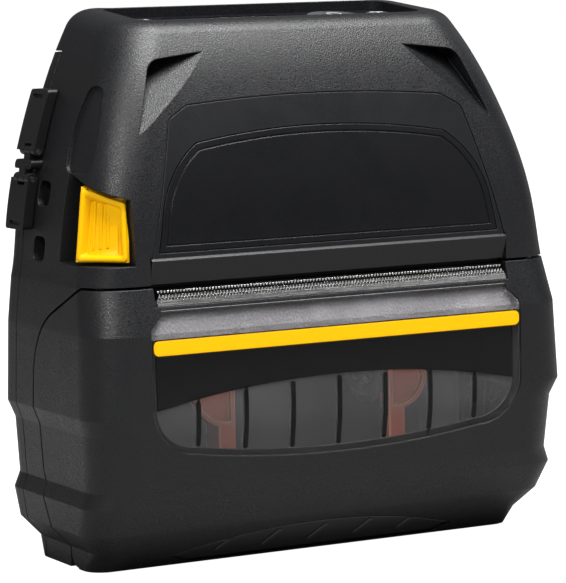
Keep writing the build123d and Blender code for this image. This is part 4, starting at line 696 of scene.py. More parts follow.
# Finishes that only the added pieces wear, and the record's slot that each stands for
EXTRA_FINISHES = {
    "key_print": (
        MouldedPlastic("Pale key print", (0.60, 0.61, 0.62), 0.45, depth=0.000002, spread=0.05), "key_rubber"
    ),
    "unlit_display": (LiquidCrystal("Unlit display", (0.060, 0.070, 0.060)), "module_plastic"),
    "window_haze": (HazedFilm("Window haze", (0.44, 0.44, 0.455)), "smoked_window"),
    # A pale grey film that paints the light on the platen seen through the window
    "painted_platen_light": (
        MouldedPlastic("Painted platen light", (0.130, 0.127, 0.135), 0.24, grain=1500.0, depth=0.00016, mottle=0.45,
                       specular=0.4), "smoked_window"
    ),
    "dark_tear_steel": (DrawnMetal("Blackened tear steel", (0.012, 0.012, 0.013), 0.4, Lay.SIDEWAYS), "bright_steel"),
    "heater_glaze": (
        MouldedPlastic("Dark heater glaze", (0.02, 0.014, 0.01), 0.12, depth=0.000001, spread=0.03), "head_ceramic"
    ),
    "solder_tin": (DrawnMetal("Solder", (0.72, 0.72, 0.70), 0.3, Lay.UPRIGHT, depth=0.000003), "circuit_board"),
}


@dataclass
class Wardrobe:
    """Keeps one material per finish and puts it on nodes and added pieces."""

    made: dict[str, bpy.types.Material] = field(default_factory=dict)

    def material(self, slot: str) -> bpy.types.Material:
        """The material of a slot, made once.

        Args:
            slot: The record's material slot.

        Returns:
            The slot's material.
        """
        if slot not in self.made:
            finish = EXTRA_FINISHES[slot][0] if slot in EXTRA_FINISHES else FINISHES[slot]
            self.made[slot] = finish.build()
        return self.made[slot]

    def dress(self, node: bpy.types.Object, slot: str) -> None:
        """Put a slot's material on an object.

        Args:
            node: The object to dress.
            slot: The record's material slot.
        """
        node.data.materials.clear()
        node.data.materials.append(self.material(slot))


# Shapes that the added pieces are built from

FACING_SHARE = 0.85  # how squarely a face must look one way to count as facing it
SIDEWAYS_SHARE = 0.9  # from here on a facet's X counts as its way out, not as its width
CREST = 0.34  # half width of a ridge's crest, in widths of its foot
TOOTH_ROOT, TOOTH_TIP = 0.40, 0.08  # half widths of a tooth, in pitches
LOBES, LOBE_STEPS, LOBE_TAPER = 6, 48, 0.94
PILLOW_WALL, PILLOW_STEPS = 0.6, 6
WELD_REACH = 0.000002
BEVEL_FACETS = 2


@dataclass(frozen=True)
class Facet:
    """A flat area on a node: its middle, the way it faces and the way that counts as across."""

    middle: Vector
    out: Vector
    across: Vector

    def matrix(self, lift: float = 0.0) -> Matrix:
        """The placement of something drawn in X and Y that stands out along Z.

        Args:
            lift: Distance off the surface, in metres.

        Returns:
            The placement.
        """
        turn = Matrix((self.across, self.out.cross(self.across), self.out)).transposed().to_4x4()
        return Matrix.Translation(self.middle + self.out * lift) @ turn


def facing(middle: Point, out: Point, across: Point) -> Facet:
    """A facet from plain coordinates."""
    return Facet(Vector(middle), Vector(out).normalized(), Vector(across).normalized())


def facet_towards(node: bpy.types.Object, way: Vector) -> Facet:
    """Find a node's largest flat area that faces roughly one way.

    Args:
        node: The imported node.
        way: The direction, as a unit vector.

    Returns:
        The flat area.
    """
    areas: dict[tuple[float, ...], float] = {}
    members: dict[tuple[float, ...], list[bpy.types.MeshPolygon]] = {}
    for face in node.data.polygons:
        if face.normal.dot(way) < FACING_SHARE:
            continue
        key = (*(round(value, 2) for value in face.normal), round(face.center.dot(face.normal), 4))
        areas[key] = areas.get(key, 0.0) + face.area
        members.setdefault(key, []).append(face)
    chosen = members[max(areas, key=areas.get)]
    out = max(chosen, key=lambda face: face.area).normal.copy()
    base = Vector((0.0, 1.0, 0.0)) if abs(out.x) > SIDEWAYS_SHARE else Vector((1.0, 0.0, 0.0))
    across = (base - out * base.dot(out)).normalized()
    up = out.cross(across)
    points = [node.data.vertices[index].co for face in chosen for index in face.vertices]
    middle = Vector()
    for axis in (across, up):
        places = [point.dot(axis) for point in points]
        middle += axis * (min(places) + max(places)) / 2
    return Facet(middle + out * chosen[0].center.dot(out), out, across)


def skin(
    shape: bmesh.types.BMesh, rings: list[list[bmesh.types.BMVert]], caps: bool = True, looped: bool = False
) -> None:
    """Join rings of corners by faces.

    Args:
        shape: The mesh under construction.
        rings: The rings in order, each with the same number of corners.
        caps: Whether the first and the last ring are closed with a face.
        looped: Whether the last ring joins the first.
    """
    pairs = list(zip(rings, rings[1:]))
    if looped:
        pairs.append((rings[-1], rings[0]))
    for near, far in pairs:
        for index in range(len(near)):
            following = (index + 1) % len(near)
            shape.faces.new((near[index], near[following], far[following], far[index]))
    if caps:
        shape.faces.new(reversed(rings[0]))
        shape.faces.new(rings[-1])


def arc(radius: float, start: float, end: float, steps: int) -> list[Spot]:
    """Points along an arc round the origin, between two angles in degrees."""
    angles = (math.radians(start + (end - start) * index / steps) for index in range(steps + 1))
    return [(radius * math.cos(angle), radius * math.sin(angle)) for angle in angles]


def rounded_loop(
    corners: list[Spot], inset: float, radius: float, steps: int = 5
) -> list[Spot]:
    """Offset a convex outline inwards and round its corners.

    Args:
        corners: The outline's corners in order.
        inset: How far each side moves in.
        radius: Radius of the corners.
        steps: Facets across each corner.

    Returns:
        The points of the loop.
    """
    points = [Vector((x, y)) for x, y in corners]
    middle = sum(points, Vector((0.0, 0.0))) / len(points)
    lines = []
    for start, end in zip(points, points[1:] + points[:1]):
        along = (end - start).normalized()
        inward = Vector((-along.y, along.x))
        if inward.dot(middle - start) < 0.0:
            inward = -inward
        lines.append((start + inward * inset, along, inward))
    loop = []
    for before, after in zip([lines[-1], *lines], lines):
        cross = before[1].x * after[1].y - before[1].y * after[1].x
        gap = after[0] - before[0]
        corner = before[0] + before[1] * ((gap.x * after[1].y - gap.y * after[1].x) / cross)
        turn = math.acos(max(-1.0, min(1.0, before[1].dot(after[1]))))
        back = radius * math.tan(turn / 2)
        centre = corner - before[1] * back + before[2] * radius
        first, last = corner - before[1] * back - centre, corner + after[1] * back - centre
        for step in range(steps + 1):
            loop.append(tuple(centre + first.lerp(last, step / steps).normalized() * radius))
    return loop


def stroke(
    shape: bmesh.types.BMesh, points: list[Spot], width: float, rise: float, closed: bool = False
) -> None:
    """Add a low ridge with sloped flanks along a line of points.

    Args:
        shape: The mesh under construction.
        points: The line, in the drawing plane.
        width: Width of the ridge's foot.
        rise: Height of the ridge.
        closed: Whether the line comes back to its start.
    """
    rings = []
    last = len(points) - 1
    for index, (x, y) in enumerate(points):
        before = points[index - 1] if closed or index else points[index]
        after = points[(index + 1) % len(points)] if closed or index < last else points[index]
        along = Vector((after[0] - before[0], after[1] - before[1], 0.0)).normalized()
        side = Vector((-along.y, along.x, 0.0)) * width
        spot = Vector((x, y, 0.0))
        rings.append([
            shape.verts.new(spot + side * reach + Vector((0.0, 0.0, rise * height)))
            for reach, height in ((0.5, 0.0), (CREST, 1.0), (-CREST, 1.0), (-0.5, 0.0))
        ])
    skin(shape, rings, caps=not closed, looped=closed)


def turned(
    shape: bmesh.types.BMesh, profile: list[Spot], at: Spot = (0.0, 0.0), steps: int = 24
) -> None:
    """Add a body turned from a profile of radius and height.

    Args:
        shape: The mesh under construction.
        profile: Radius and height of each corner, from the foot upwards.
        at: Where its axis stands in the drawing plane.
        steps: Facets round the axis.
    """
    rings = []
    for radius, height in profile:
        ring = []
        for index in range(steps):
            angle = 2 * math.pi * index / steps
            ring.append(shape.verts.new((at[0] + radius * math.cos(angle), at[1] + radius * math.sin(angle), height)))
        rings.append(ring)
    skin(shape, rings)


def comb(pitch: float, half: float, height: float, thick: float) -> bmesh.types.BMesh:
    """A row of pointed teeth along X, rooted on the drawing plane's X axis.

    Args:
        pitch: Distance between teeth.
        half: Half the row's length.
        height: Height of a tooth.
        thick: Thickness of the steel.

    Returns:
        The mesh.
    """
    shape = bmesh.new()
    count = int(2 * half / pitch)
    for index in range(count):
        x = (index - (count - 1) / 2) * pitch
        root, tip = pitch * TOOTH_ROOT, pitch * TOOTH_TIP
        outline = ((x - root, 0.0), (x + root, 0.0), (x + tip, height), (x - tip, height))
        skin(shape, [[shape.verts.new((a, b, side * thick / 2)) for a, b in outline] for side in (-1, 1)])
    return shape


def lobed(shape: bmesh.types.BMesh, outer: float, inner: float, rise: float, at: Spot) -> None:
    """Add a low star with six round lobes, as in a screw's drive.

    Args:
        shape: The mesh under construction.
        outer: Radius at the lobes.
        inner: Radius between the lobes.
        rise: Height.
        at: Its middle in the drawing plane.
    """
    middle, swing = (outer + inner) / 2, (outer - inner) / 2
    rings = []
    for scale, height in ((1.0, 0.0), (LOBE_TAPER, rise)):
        ring = []
        for index in range(LOBE_STEPS):
            angle = 2 * math.pi * index / LOBE_STEPS
            reach = (middle + swing * math.cos(LOBES * angle)) * scale
            ring.append(shape.verts.new((at[0] + reach * math.cos(angle), at[1] + reach * math.sin(angle), height)))
        rings.append(ring)
    skin(shape, rings)


def pillow(shape: bmesh.types.BMesh, size: Spot, corner: float, rise: float, edge: float) -> None:
    """Add a plate with rounded corners and a sloped edge.

    Args:
        shape: The mesh under construction.
        size: Width and height.
        corner: Corner radius.
        rise: Thickness.
        edge: Width of the sloped edge.
    """
    half_x, half_y = size[0] / 2 - corner, size[1] / 2 - corner
    rings = []
    for shrink, height in ((0.0, 0.0), (0.0, rise * PILLOW_WALL), (edge, rise)):
        ring = []
        for quarter, (side_x, side_y) in enumerate(((1, 1), (-1, 1), (-1, -1), (1, -1))):
            for x, y in arc(corner - shrink, 90.0 * quarter, 90.0 * quarter + 90.0, PILLOW_STEPS):
                ring.append(shape.verts.new((side_x * half_x + x, side_y * half_y + y, height)))
        rings.append(ring)
    skin(shape, rings)


def soften(node: bpy.types.Object, width: float, angle: float) -> None:
    """Round a node's hard edges a little with modifiers.

    Args:
        node: The object to soften.
        width: Width of the rounding, in metres.
        angle: Edges sharper than this many degrees are rounded.
    """
    weld = node.modifiers.new("Weld", "WELD")
    weld.merge_threshold = WELD_REACH
    bevel = node.modifiers.new("Bevel", "BEVEL")
    bevel.width = width
    bevel.segments = BEVEL_FACETS
    bevel.limit_method = "ANGLE"
    bevel.angle_limit = math.radians(angle)
    bevel.use_clamp_overlap = True


# The printer's sub-assemblies


@dataclass
class SubAssembly:
    """One sub-assembly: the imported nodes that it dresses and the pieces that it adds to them."""

    frame: dict
    wardrobe: Wardrobe
    members: ClassVar[tuple[str, ...]] = ()

    def node(self, name: str) -> bpy.types.Object:
        """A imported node's object."""
        return self.frame["nodes"][name]

    def dress(self) -> None:
        """Put each member's finish on it."""
        slots = {entry["node"]: entry["material_slot"] for entry in self.frame["record"]["subparts"]}
        for name in self.members:
            self.wardrobe.dress(self.node(name), slots[name])
            LOG.info("dressed %s", name)

    def add(self, name: str, shape: bmesh.types.BMesh, finish: str, body: str, at: Matrix) -> bpy.types.Object:
        """Turn a finished mesh into a dressed piece that rides on a body.

        Args:
            name: The piece's name.
            shape: Its mesh, which is used up.
            finish: The slot or extra finish that it wears.
            body: The body that carries it.
            at: Where its drawing plane lies.

        Returns:
            The new piece.
        """
        bmesh.ops.recalc_face_normals(shape, faces=shape.faces)
        shape.transform(at)
        mesh = bpy.data.meshes.new(name)
        shape.to_mesh(mesh)
        shape.free()
        piece = bpy.data.objects.new(name, mesh)
        bpy.context.scene.collection.objects.link(piece)
        self.wardrobe.dress(piece, finish)
        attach(piece, body)
        LOG.info("added %s", name)
        return piece

    def build(self) -> None:
        """Dress the members and make the added pieces."""
        self.dress()


@dataclass
class HousingShell(SubAssembly):
    """The two housing halves with the bezel and panel on the front."""

    members: ClassVar[tuple[str, ...]] = (
        "main_housing", "rear_housing", "front_bezel", "front_panel", "housing_screws",
    )
    screw_places: Profile = ((0.0695, 0.024), (0.0575, 0.138))
    screw_face: float = 0.0316
    drive_outer: float = 0.0015
    drive_inner: float = 0.0010
    drive_rise: float = 0.00008

    def build(self) -> None:
        """Dress the shell and paint the shade in the drives of its screws."""
        self.dress()
        self.screw_drive_shade()

    def screw_drive_shade(self) -> None:
        """A dark six-lobed star on the head of each screw: painted shade standing in for the hollow of its drive."""
        shape = bmesh.new()
        for x, z in self.screw_places:
            for side in (-1, 1):
                lobed(shape, self.drive_outer, self.drive_inner, self.drive_rise, (side * x, z))
        face = facing((0.0, self.screw_face, 0.0), (0.0, 1.0, 0.0), (-1.0, 0.0, 0.0))
        shape.transform(Matrix.Scale(-1.0, 4, (1.0, 0.0, 0.0)))
        self.add("screw_drive_shade", shape, "socket_plastic", "housing", face.matrix())


@dataclass
class FrontCover(SubAssembly):
    """The hinged cover with its window, stripe, seal and lower tear bar."""

    members: ClassVar[tuple[str, ...]] = (
        "cover_frame", "cover_window", "yellow_stripe", "window_mask", "window_seal", "bottom_insert",
        "lower_tear_bar", "hinge_pins",
    )
    rib_pitch: float = 0.015
    rib_width: float = 0.0014
    rib_slack: float = 0.00005
    rib_foot: float = 0.0325
    rib_head: float = 0.0535
    inward: float = 0.6
    film_gap: float = 0.00002
    glass_foot: float = 0.0318
    mask_behind: float = 0.0560
    haze_lift: float = 0.00036
    band_low: float = 0.0675
    band_sunk: float = 0.00003
    band_high: float = 0.0750
    tooth_pitch: float = 0.0010
    tooth_height: float = 0.0009
    tooth_thick: float = 0.0002
    tear_half: float = 0.0562
    teeth_at: Point = (0.0, -0.0300, 0.07885)
    flange_at: Point = (0.0, -0.0311, 0.0755)
    flange_width: float = 0.0005
    flange_rise: float = 0.0003

    def build(self) -> None:
        """Dress the cover, free the print from the glass and add the films and the tear edge."""
        self.dress()
        self.loosen_print()
        self.window_films()
        self.tear_edge()

    def loosen_print(self) -> None:
        """Draw the print in by a hair so that no face of it lies in a face of the glass."""
        for name in ("window_mask", "yellow_stripe", "window_seal"):
            draw_in = self.node(name).modifiers.new("Draw in", "DISPLACE")
            draw_in.mid_level = 0.0
            draw_in.strength = -self.film_gap

    def inner_glass(self, low: float, high: float, lift: float) -> bmesh.types.BMesh:
        """Copy the window's inner face between two heights, lifted off the glass.

        Args:
            low: Lowest height that is kept.
            high: Highest height that is kept.
            lift: Distance off the glass.

        Returns:
            The copied faces, with the backs of the ribs among them.
        """
        shape = bmesh.new()
        shape.from_mesh(self.node("cover_window").data)
        outer = [face for face in shape.faces if face.normal.y < self.inward]
        bmesh.ops.delete(shape, geom=outer, context="FACES")
        for level, up in ((low, -1.0), (high, 1.0)):
            whole = [*shape.verts, *shape.edges, *shape.faces]
            bmesh.ops.bisect_plane(
                shape, geom=whole, plane_co=(0.0, 0.0, level), plane_no=(0.0, 0.0, up), clear_outer=True
            )
        bmesh.ops.translate(shape, verts=shape.verts, vec=(0.0, lift, 0.0))
        return shape

    def is_rib_back(self, face: bmesh.types.BMFace) -> bool:
        """Tell the back of a rib from the glass between the ribs.

        Args:
            face: A face of the copied glass.

        Returns:
            Whether it is the back of a rib.
        """
        number = round(face.calc_center_median().x / self.rib_pitch)
        reach = self.rib_width / 2 + self.rib_slack
        return all(abs(corner.co.x - number * self.rib_pitch) < reach for corner in face.verts)

    def window_films(self) -> None:
        """Black film on the backs of the ribs as painted shade, a faint haze between them and a pale band over the
        platen that paints the light on the roller behind the glass.
        """
        # Painted shade: black film on the ribs' backs makes the ribs read dark, where only shade darkens them.
        backs = self.inner_glass(self.rib_foot, self.rib_head, self.film_gap)
        bmesh.ops.delete(backs, geom=[face for face in backs.faces if not self.is_rib_back(face)], context="FACES")
        self.add("window_rib_painted_shade", backs, "mask_film", "cover", Matrix.Identity(4))
        haze = self.inner_glass(self.glass_foot, self.mask_behind, self.haze_lift)
        bmesh.ops.delete(haze, geom=[face for face in haze.faces if self.is_rib_back(face)], context="FACES")
        self.add("window_haze", haze, "window_haze", "cover", Matrix.Identity(4))
        # Painted light: a pale grey film just inside the glass over the platen stands in for the lit roller behind it.
        band = self.inner_glass(self.band_low, self.band_high, -self.band_sunk)
        self.add("window_painted_platen_light", band, "painted_platen_light", "cover", Matrix.Identity(4))

    def tear_edge(self) -> None:
        """The teeth along the lower tear bar and the folded flange under it."""
        row = comb(self.tooth_pitch, self.tear_half, self.tooth_height, self.tooth_thick)
        flange = bmesh.new()
        stroke(flange, [(-self.tear_half, 0.0), (self.tear_half, 0.0)], self.flange_width, self.flange_rise)
        for name, shape, middle in (("lower_tear_teeth", row, self.teeth_at), ("tear_flange", flange, self.flange_at)):
            face = facing(middle, (0.0, -1.0, 0.0), (1.0, 0.0, 0.0))
            self.add(name, shape, "bright_steel", "cover", face.matrix())


@dataclass
class PrintMechanism(SubAssembly):
    """Platen, gear train, printhead, latch hooks and motor."""

    members: ClassVar[tuple[str, ...]] = (
        "platen_bearings", "platen_roller", "platen_shaft", "platen_gear", "idler_gear", "motor_pinion", "printhead",
        "heat_sink", "head_pin", "head_springs", "print_frame", "latch_hooks", "drive_motor", "upper_tear_bar",
    )
    tooth_pitch: float = 0.0010
    tooth_height: float = 0.0007
    tooth_thick: float = 0.0002
    tear_half: float = 0.0560
    teeth_at: Point = (0.0, -0.0291, 0.0808)
    heater_half: float = 0.0515
    heater_y: float = -0.022
    heater_z: float = 0.0789
    heater_width: float = 0.0004
    heater_rise: float = 0.00003
    motor_axis: Spot = (-0.0021, 0.0921)
    motor_end: float = 0.022
    motor_radius: float = 0.009
    end_profile: Profile = (
        (0.86, 0.0), (0.86, 0.0002), (0.82, 0.0004), (0.42, 0.0004), (0.40, 0.0010), (0.36, 0.0012), (0.16, 0.0012),
        (0.15, 0.0007),
    )

    def build(self) -> None:
        """Dress the mechanism and add the teeth, the heater line and the motor's end plate."""
        self.dress()
        self.upper_teeth()
        self.heater_line()
        self.motor_end_plate()

    def upper_teeth(self) -> None:
        """Blacken the fixed tear bar and give it a row of bright teeth."""
        self.wardrobe.dress(self.node("upper_tear_bar"), "dark_tear_steel")
        row = comb(self.tooth_pitch, self.tear_half, self.tooth_height, self.tooth_thick)
        face = facing(self.teeth_at, (0.0, -1.0, 0.0), (-1.0, 0.0, 0.0))
        self.add("upper_tear_teeth", row, "bright_steel", "housing", face.matrix())

    def heater_line(self) -> None:
        """The dark line of heating dots along the printhead."""
        shape = bmesh.new()
        stroke(shape, [(-self.heater_half, 0.0), (self.heater_half, 0.0)], self.heater_width, self.heater_rise)
        face = facing((0.0, self.heater_y, self.heater_z), (0.0, 0.0, -1.0), (1.0, 0.0, 0.0))
        self.add("heater_line", shape, "heater_glaze", "head", face.matrix())

    def motor_end_plate(self) -> None:
        """A stepped plate with a bearing boss on the motor's closed end."""
        shape = bmesh.new()
        turned(shape, [(share * self.motor_radius, height) for share, height in self.end_profile], steps=40)
        face = facing((self.motor_end, *self.motor_axis), (-1.0, 0.0, 0.0), (0.0, 1.0, 0.0))
        self.add("motor_end_plate", shape, "motor_steel", "housing", face.matrix())


@dataclass
class RollBay(SubAssembly):
    """The tub for the media roll with its centring arms, racks and sensor."""

    members: ClassVar[tuple[str, ...]] = (
        "media_tub", "media_sensor", "arm_rod", "arm_left", "arm_right", "media_disk_left", "media_disk_right",
        "rack_left", "rack_right", "rack_pinion",
    )
    lens_places: Spot = (-0.0016, 0.0016)
    lens_y: float = 0.014
    lens_z: float = 0.0776
    lens_radius: float = 0.0009
    lens_profile: Profile = ((1.0, 0.0), (1.0, 0.2), (0.86, 0.42), (0.6, 0.58), (0.25, 0.66))
    disk_face: float = 0.0226
    disk_axis: Spot = (0.0005, 0.051)
    ridge_inner: float = 0.0072
    ridge_outer: float = 0.0104
    ridge_count: int = 18
    ridge_width: float = 0.0007
    ridge_rise: float = 0.00015

    def build(self) -> None:
        """Dress the bay and add the sensor's lenses and the disks' grip ridges."""
        self.dress()
        self.sensor_lenses()
        self.disk_ridges()

    def sensor_lenses(self) -> None:
        """Two small domed lenses under the media sensor."""
        r = self.lens_radius
        profile = [(r * share, r * height) for share, height in self.lens_profile]
        shape = bmesh.new()
        for x in self.lens_places:
            turned(shape, profile, at=(x, 0.0), steps=20)
        face = facing((0.0, self.lens_y, self.lens_z), (0.0, 0.0, -1.0), (1.0, 0.0, 0.0))
        self.add("sensor_lenses", shape, "display_glass", "housing", face.matrix())

    def disk_ridges(self) -> None:
        """Radial ridges on each disk that grip the core of the roll."""
        for side, name in ((-1, "left"), (1, "right")):
            shape = bmesh.new()
            for index in range(self.ridge_count):
                angle = 2 * math.pi * index / self.ridge_count
                ends = [(r * math.cos(angle), r * math.sin(angle)) for r in (self.ridge_inner, self.ridge_outer)]
                stroke(shape, ends, self.ridge_width, self.ridge_rise)
            face = facing((side * self.disk_face, *self.disk_axis), (-side, 0.0, 0.0), (0.0, 1.0, 0.0))
            self.add(f"disk_ridges_{name}", shape, "tub_plastic", f"disk_{name}", face.matrix())


@dataclass
class ControlPanel(SubAssembly):
    """The display and keys on the top, with plain marks that belong to no maker."""

    members: ClassVar[tuple[str, ...]] = (
        "control_panel", "display_lens", "display_module", "keypad_board", "power_button", "feed_button", "nav_pad",
        "select_button",
    )
    line: float = 0.00055
    rise: float = 0.00006
    ring: float = 0.0023
    power_gap: Spot = (125.0, 415.0)
    power_bar: Profile = ((0.0, 0.3), (0.0, 1.25))
    feed_lines: tuple[Profile, ...] = (
        ((-1.0, 0.9), (1.0, 0.9)), ((0.0, 0.55), (0.0, -0.9)), ((-0.6, -0.25), (0.0, -0.95), (0.6, -0.25)),
    )
    select_ring: float = 0.0021
    select_line: float = 0.00044
    screen: Spot = (0.0315, 0.0122)
    screen_corner: float = 0.0005
    screen_edge: float = 0.0001
    screen_drop: float = 0.00028
    screen_thick: float = 0.00014

    def build(self) -> None:
        """Dress the panel and add key marks and the unlit screen."""
        self.dress()
        self.power_mark()
        self.feed_mark()
        self.select_mark()
        self.screen_pane()

    def print_mark(self, name: str, shape: bmesh.types.BMesh, key: str, body: str) -> None:
        """Print a mark on the top of a key.

        Args:
            name: The mark's name.
            shape: Its mesh.
            key: The key's node.
            body: The body that carries it.
        """
        top = facet_towards(self.node(key), Vector((0.0, 0.0, 1.0)))
        self.add(name, shape, "key_print", body, top.matrix())

    def lines(self, shape: bmesh.types.BMesh, runs: tuple[Profile, ...]) -> None:
        """Draw lines whose points are given in ring radii.

        Args:
            shape: The mesh under construction.
            runs: The points of each line.
        """
        for run in runs:
            stroke(shape, [(x * self.ring, y * self.ring) for x, y in run], self.line, self.rise)

    def power_mark(self) -> None:
        """An open ring with a bar through its gap."""
        shape = bmesh.new()
        stroke(shape, arc(self.ring, *self.power_gap, 30), self.line, self.rise)
        self.lines(shape, (self.power_bar,))
        self.print_mark("power_mark", shape, "power_button", "power_key")

    def feed_mark(self) -> None:
        """A sheet's edge with an arrow that leaves it."""
        shape = bmesh.new()
        self.lines(shape, self.feed_lines)
        self.print_mark("feed_mark", shape, "feed_button", "feed_key")

    def select_mark(self) -> None:
        """A plain ring on the middle key."""
        shape = bmesh.new()
        stroke(shape, arc(self.select_ring, 0.0, 360.0, 32)[:-1], self.select_line, self.rise, closed=True)
        self.print_mark("select_mark", shape, "select_button", "select_key")

    def screen_pane(self) -> None:
        """The unlit screen in the module's recess, under the lens."""
        shape = bmesh.new()
        pillow(shape, self.screen, self.screen_corner, self.screen_thick, self.screen_edge)
        top = facet_towards(self.node("display_module"), Vector((0.0, 0.0, 1.0)))
        self.add("screen_pane", shape, "unlit_display", "housing", top.matrix(-self.screen_drop))


@dataclass
class SidePorts(SubAssembly):
    """The two sockets behind their hinged rubber doors."""

    members: ClassVar[tuple[str, ...]] = (
        "port_hinge_block", "port_door_upper", "port_door_lower", "port_pins", "power_socket", "data_socket",
    )
    tongue_y: float = 0.0205
    tongue_top: float = 0.1039
    tongue_low: float = 0.1029
    strip_from: float = -0.0690
    strip_to: float = -0.0645
    strip_pitch: float = 0.0010
    strip_width: float = 0.0005
    strip_rise: float = 0.00005
    pin_at: Spot = (0.0205, 0.1264)
    sleeve_from: float = -0.0615
    sleeve_profile: Profile = (
        (0.00355, 0.0), (0.00355, 0.0040), (0.00345, 0.0042), (0.00330, 0.0040), (0.00330, 0.0),
    )
    cap_profile: Profile = ((0.00128, 0.0), (0.00128, 0.0046), (0.00105, 0.0050), (0.00050, 0.0052))

    def build(self) -> None:
        """Dress the ports and add the contacts inside them."""
        self.dress()
        self.contact_strips()
        self.power_sleeve()

    def contact_strips(self) -> None:
        """Plated strips on both faces of the data socket's tongue."""
        shape = bmesh.new()
        for level, way in ((self.tongue_top, 1), (self.tongue_low, -1)):
            for column in range(-2, 3):
                strip = bmesh.new()
                y = self.tongue_y + column * self.strip_pitch
                stroke(strip, [(self.strip_from, 0.0), (self.strip_to, 0.0)], self.strip_width, self.strip_rise)
                strip.transform(Matrix.Translation((0.0, y, level)) @ Matrix.Scale(way, 4, (0.0, 0.0, 1.0)))
                scratch = bpy.data.meshes.new("strip")
                strip.to_mesh(scratch)
                strip.free()
                shape.from_mesh(scratch)
                bpy.data.meshes.remove(scratch)
        self.add("data_contacts", shape, "contact_brass", "housing", Matrix.Identity(4))

    def power_sleeve(self) -> None:
        """The bright sleeve in the power socket and the cap on its centre pin."""
        shape = bmesh.new()
        turned(shape, self.sleeve_profile, steps=32)
        turned(shape, self.cap_profile)
        face = facing((self.sleeve_from, *self.pin_at), (-1.0, 0.0, 0.0), (0.0, 1.0, 0.0))
        self.add("power_contacts", shape, "socket_steel", "housing", face.matrix())


@dataclass
class BatteryBay(SubAssembly):
    """The battery, its contacts and the board behind it."""

    members: ClassVar[tuple[str, ...]] = ("battery_pack", "battery_contacts", "main_board")
    pin_count: int = 16
    pin_pitch: float = 0.00254
    pin_radius: float = 0.0007
    pin_rise: float = 0.0005
    pin_row: float = 0.019
    pin_profile: Profile = ((1.0, 0.0), (0.7, 0.4), (0.4, 0.8), (0.3, 1.0))

    def build(self) -> None:
        """Dress the bay and solder the connector's pins."""
        self.dress()
        self.solder_row()

    def solder_row(self) -> None:
        """A row of solder cones along the board."""
        profile = [(self.pin_radius * share, self.pin_rise * height) for share, height in self.pin_profile]
        shape = bmesh.new()
        for index in range(self.pin_count):
            turned(shape, profile, at=((index - (self.pin_count - 1) / 2) * self.pin_pitch, self.pin_row), steps=12)
        face = facet_towards(self.node("main_board"), Vector((0.0, -1.0, 0.0)))
        self.add("solder_row", shape, "solder_tin", "housing", face.matrix())


@dataclass
class OpeningLever(SubAssembly):
    """The yellow lever that opens the cover, with its pin and spring."""

    members: ClassVar[tuple[str, ...]] = ("latch_lever", "lever_pin", "lever_spring")
    rounding: float = 0.00025
    rounding_angle: float = 28.0
    foot: float = 0.0890
    near_foot: Spot = (-0.0740, -0.0158)
    far_foot: Spot = (-0.0634, -0.0274)
    near_top: Point = (-0.0712, -0.0147, 0.1095)
    far_top: Point = (-0.0628, -0.0253, 0.1053)
    rim_profile: Profile = (
        (0.00010, -0.00005), (0.00012, 0.00035), (0.00045, 0.00062), (0.00120, 0.00060), (0.00160, 0.00035),
        (0.00215, -0.00110), (0.00245, -0.00135),
    )
    rim_corner: float = 0.0012
    rim_tighten: float = 0.3
    rim_least: float = 0.0003
    rib_spots: tuple[Point, ...] = ((0.30, 0.18, 0.86), (0.44, 0.20, 0.84), (0.58, 0.22, 0.80))
    rib_width: float = 0.0011
    rib_rise: float = 0.0005
    rib_lift: float = 0.0001

    def build(self) -> None:
        """Dress the lever, round its edges and give its tray a broad rim and ribs."""
        self.dress()
        soften(self.node("latch_lever"), self.rounding, self.rounding_angle)
        self.tray_rim()
        self.tray_ribs()

    def tray(self) -> tuple[Facet, list[Spot]]:
        """Lay a plane over the mouth of the tray.

        Returns:
            The plane, and the mouth's four corners in it.
        """
        near = Vector((*self.near_foot, self.foot))
        far = Vector((*self.far_foot, self.foot))
        across = (far - near).normalized()
        rise = (Vector(self.near_top) - near + Vector(self.far_top) - far) / 2
        out = across.cross(rise).normalized()
        if out.y > 0.0:
            out = -out
        across = across if out.cross(across).z > 0.0 else -across
        plane = Facet(near, out, across)
        up = out.cross(across)
        corners = [(Vector(point) - near) for point in (near, far, self.far_top, self.near_top)]
        return plane, [(corner.dot(across), corner.dot(up)) for corner in corners]

    def tray_rim(self) -> None:
        """A broad rim round the tray whose inner flank slopes to the floor."""
        plane, corners = self.tray()
        shape = bmesh.new()
        rings = []
        for inset, height in self.rim_profile:
            corner = max(self.rim_corner - inset * self.rim_tighten, self.rim_least)
            loop = rounded_loop(corners, inset, corner)
            rings.append([shape.verts.new((x, y, height)) for x, y in loop])
        skin(shape, rings, caps=False)
        rim = self.add("lever_rim", shape, "yellow_plastic", "lever", plane.matrix())
        for face in rim.data.polygons:
            face.use_smooth = True

    def tray_ribs(self) -> None:
        """Upright ribs on the tray's floor for the fingertip."""
        plane, corners = self.tray()
        foot_a, foot_b, top_b, top_a = (Vector(corner) for corner in corners)
        shape = bmesh.new()
        for share, low, high in self.rib_spots:
            foot, top = foot_a.lerp(foot_b, share), top_a.lerp(top_b, share)
            ends = [tuple(foot.lerp(top, part)) for part in (low, high)]
            stroke(shape, ends, self.rib_width, self.rib_rise)
        self.add("lever_ribs", shape, "yellow_plastic", "lever", plane.matrix(self.rim_profile[-1][1] + self.rib_lift))


SUB_ASSEMBLIES = (
    HousingShell, FrontCover, PrintMechanism, RollBay, ControlPanel, SidePorts, BatteryBay, OpeningLever,
)


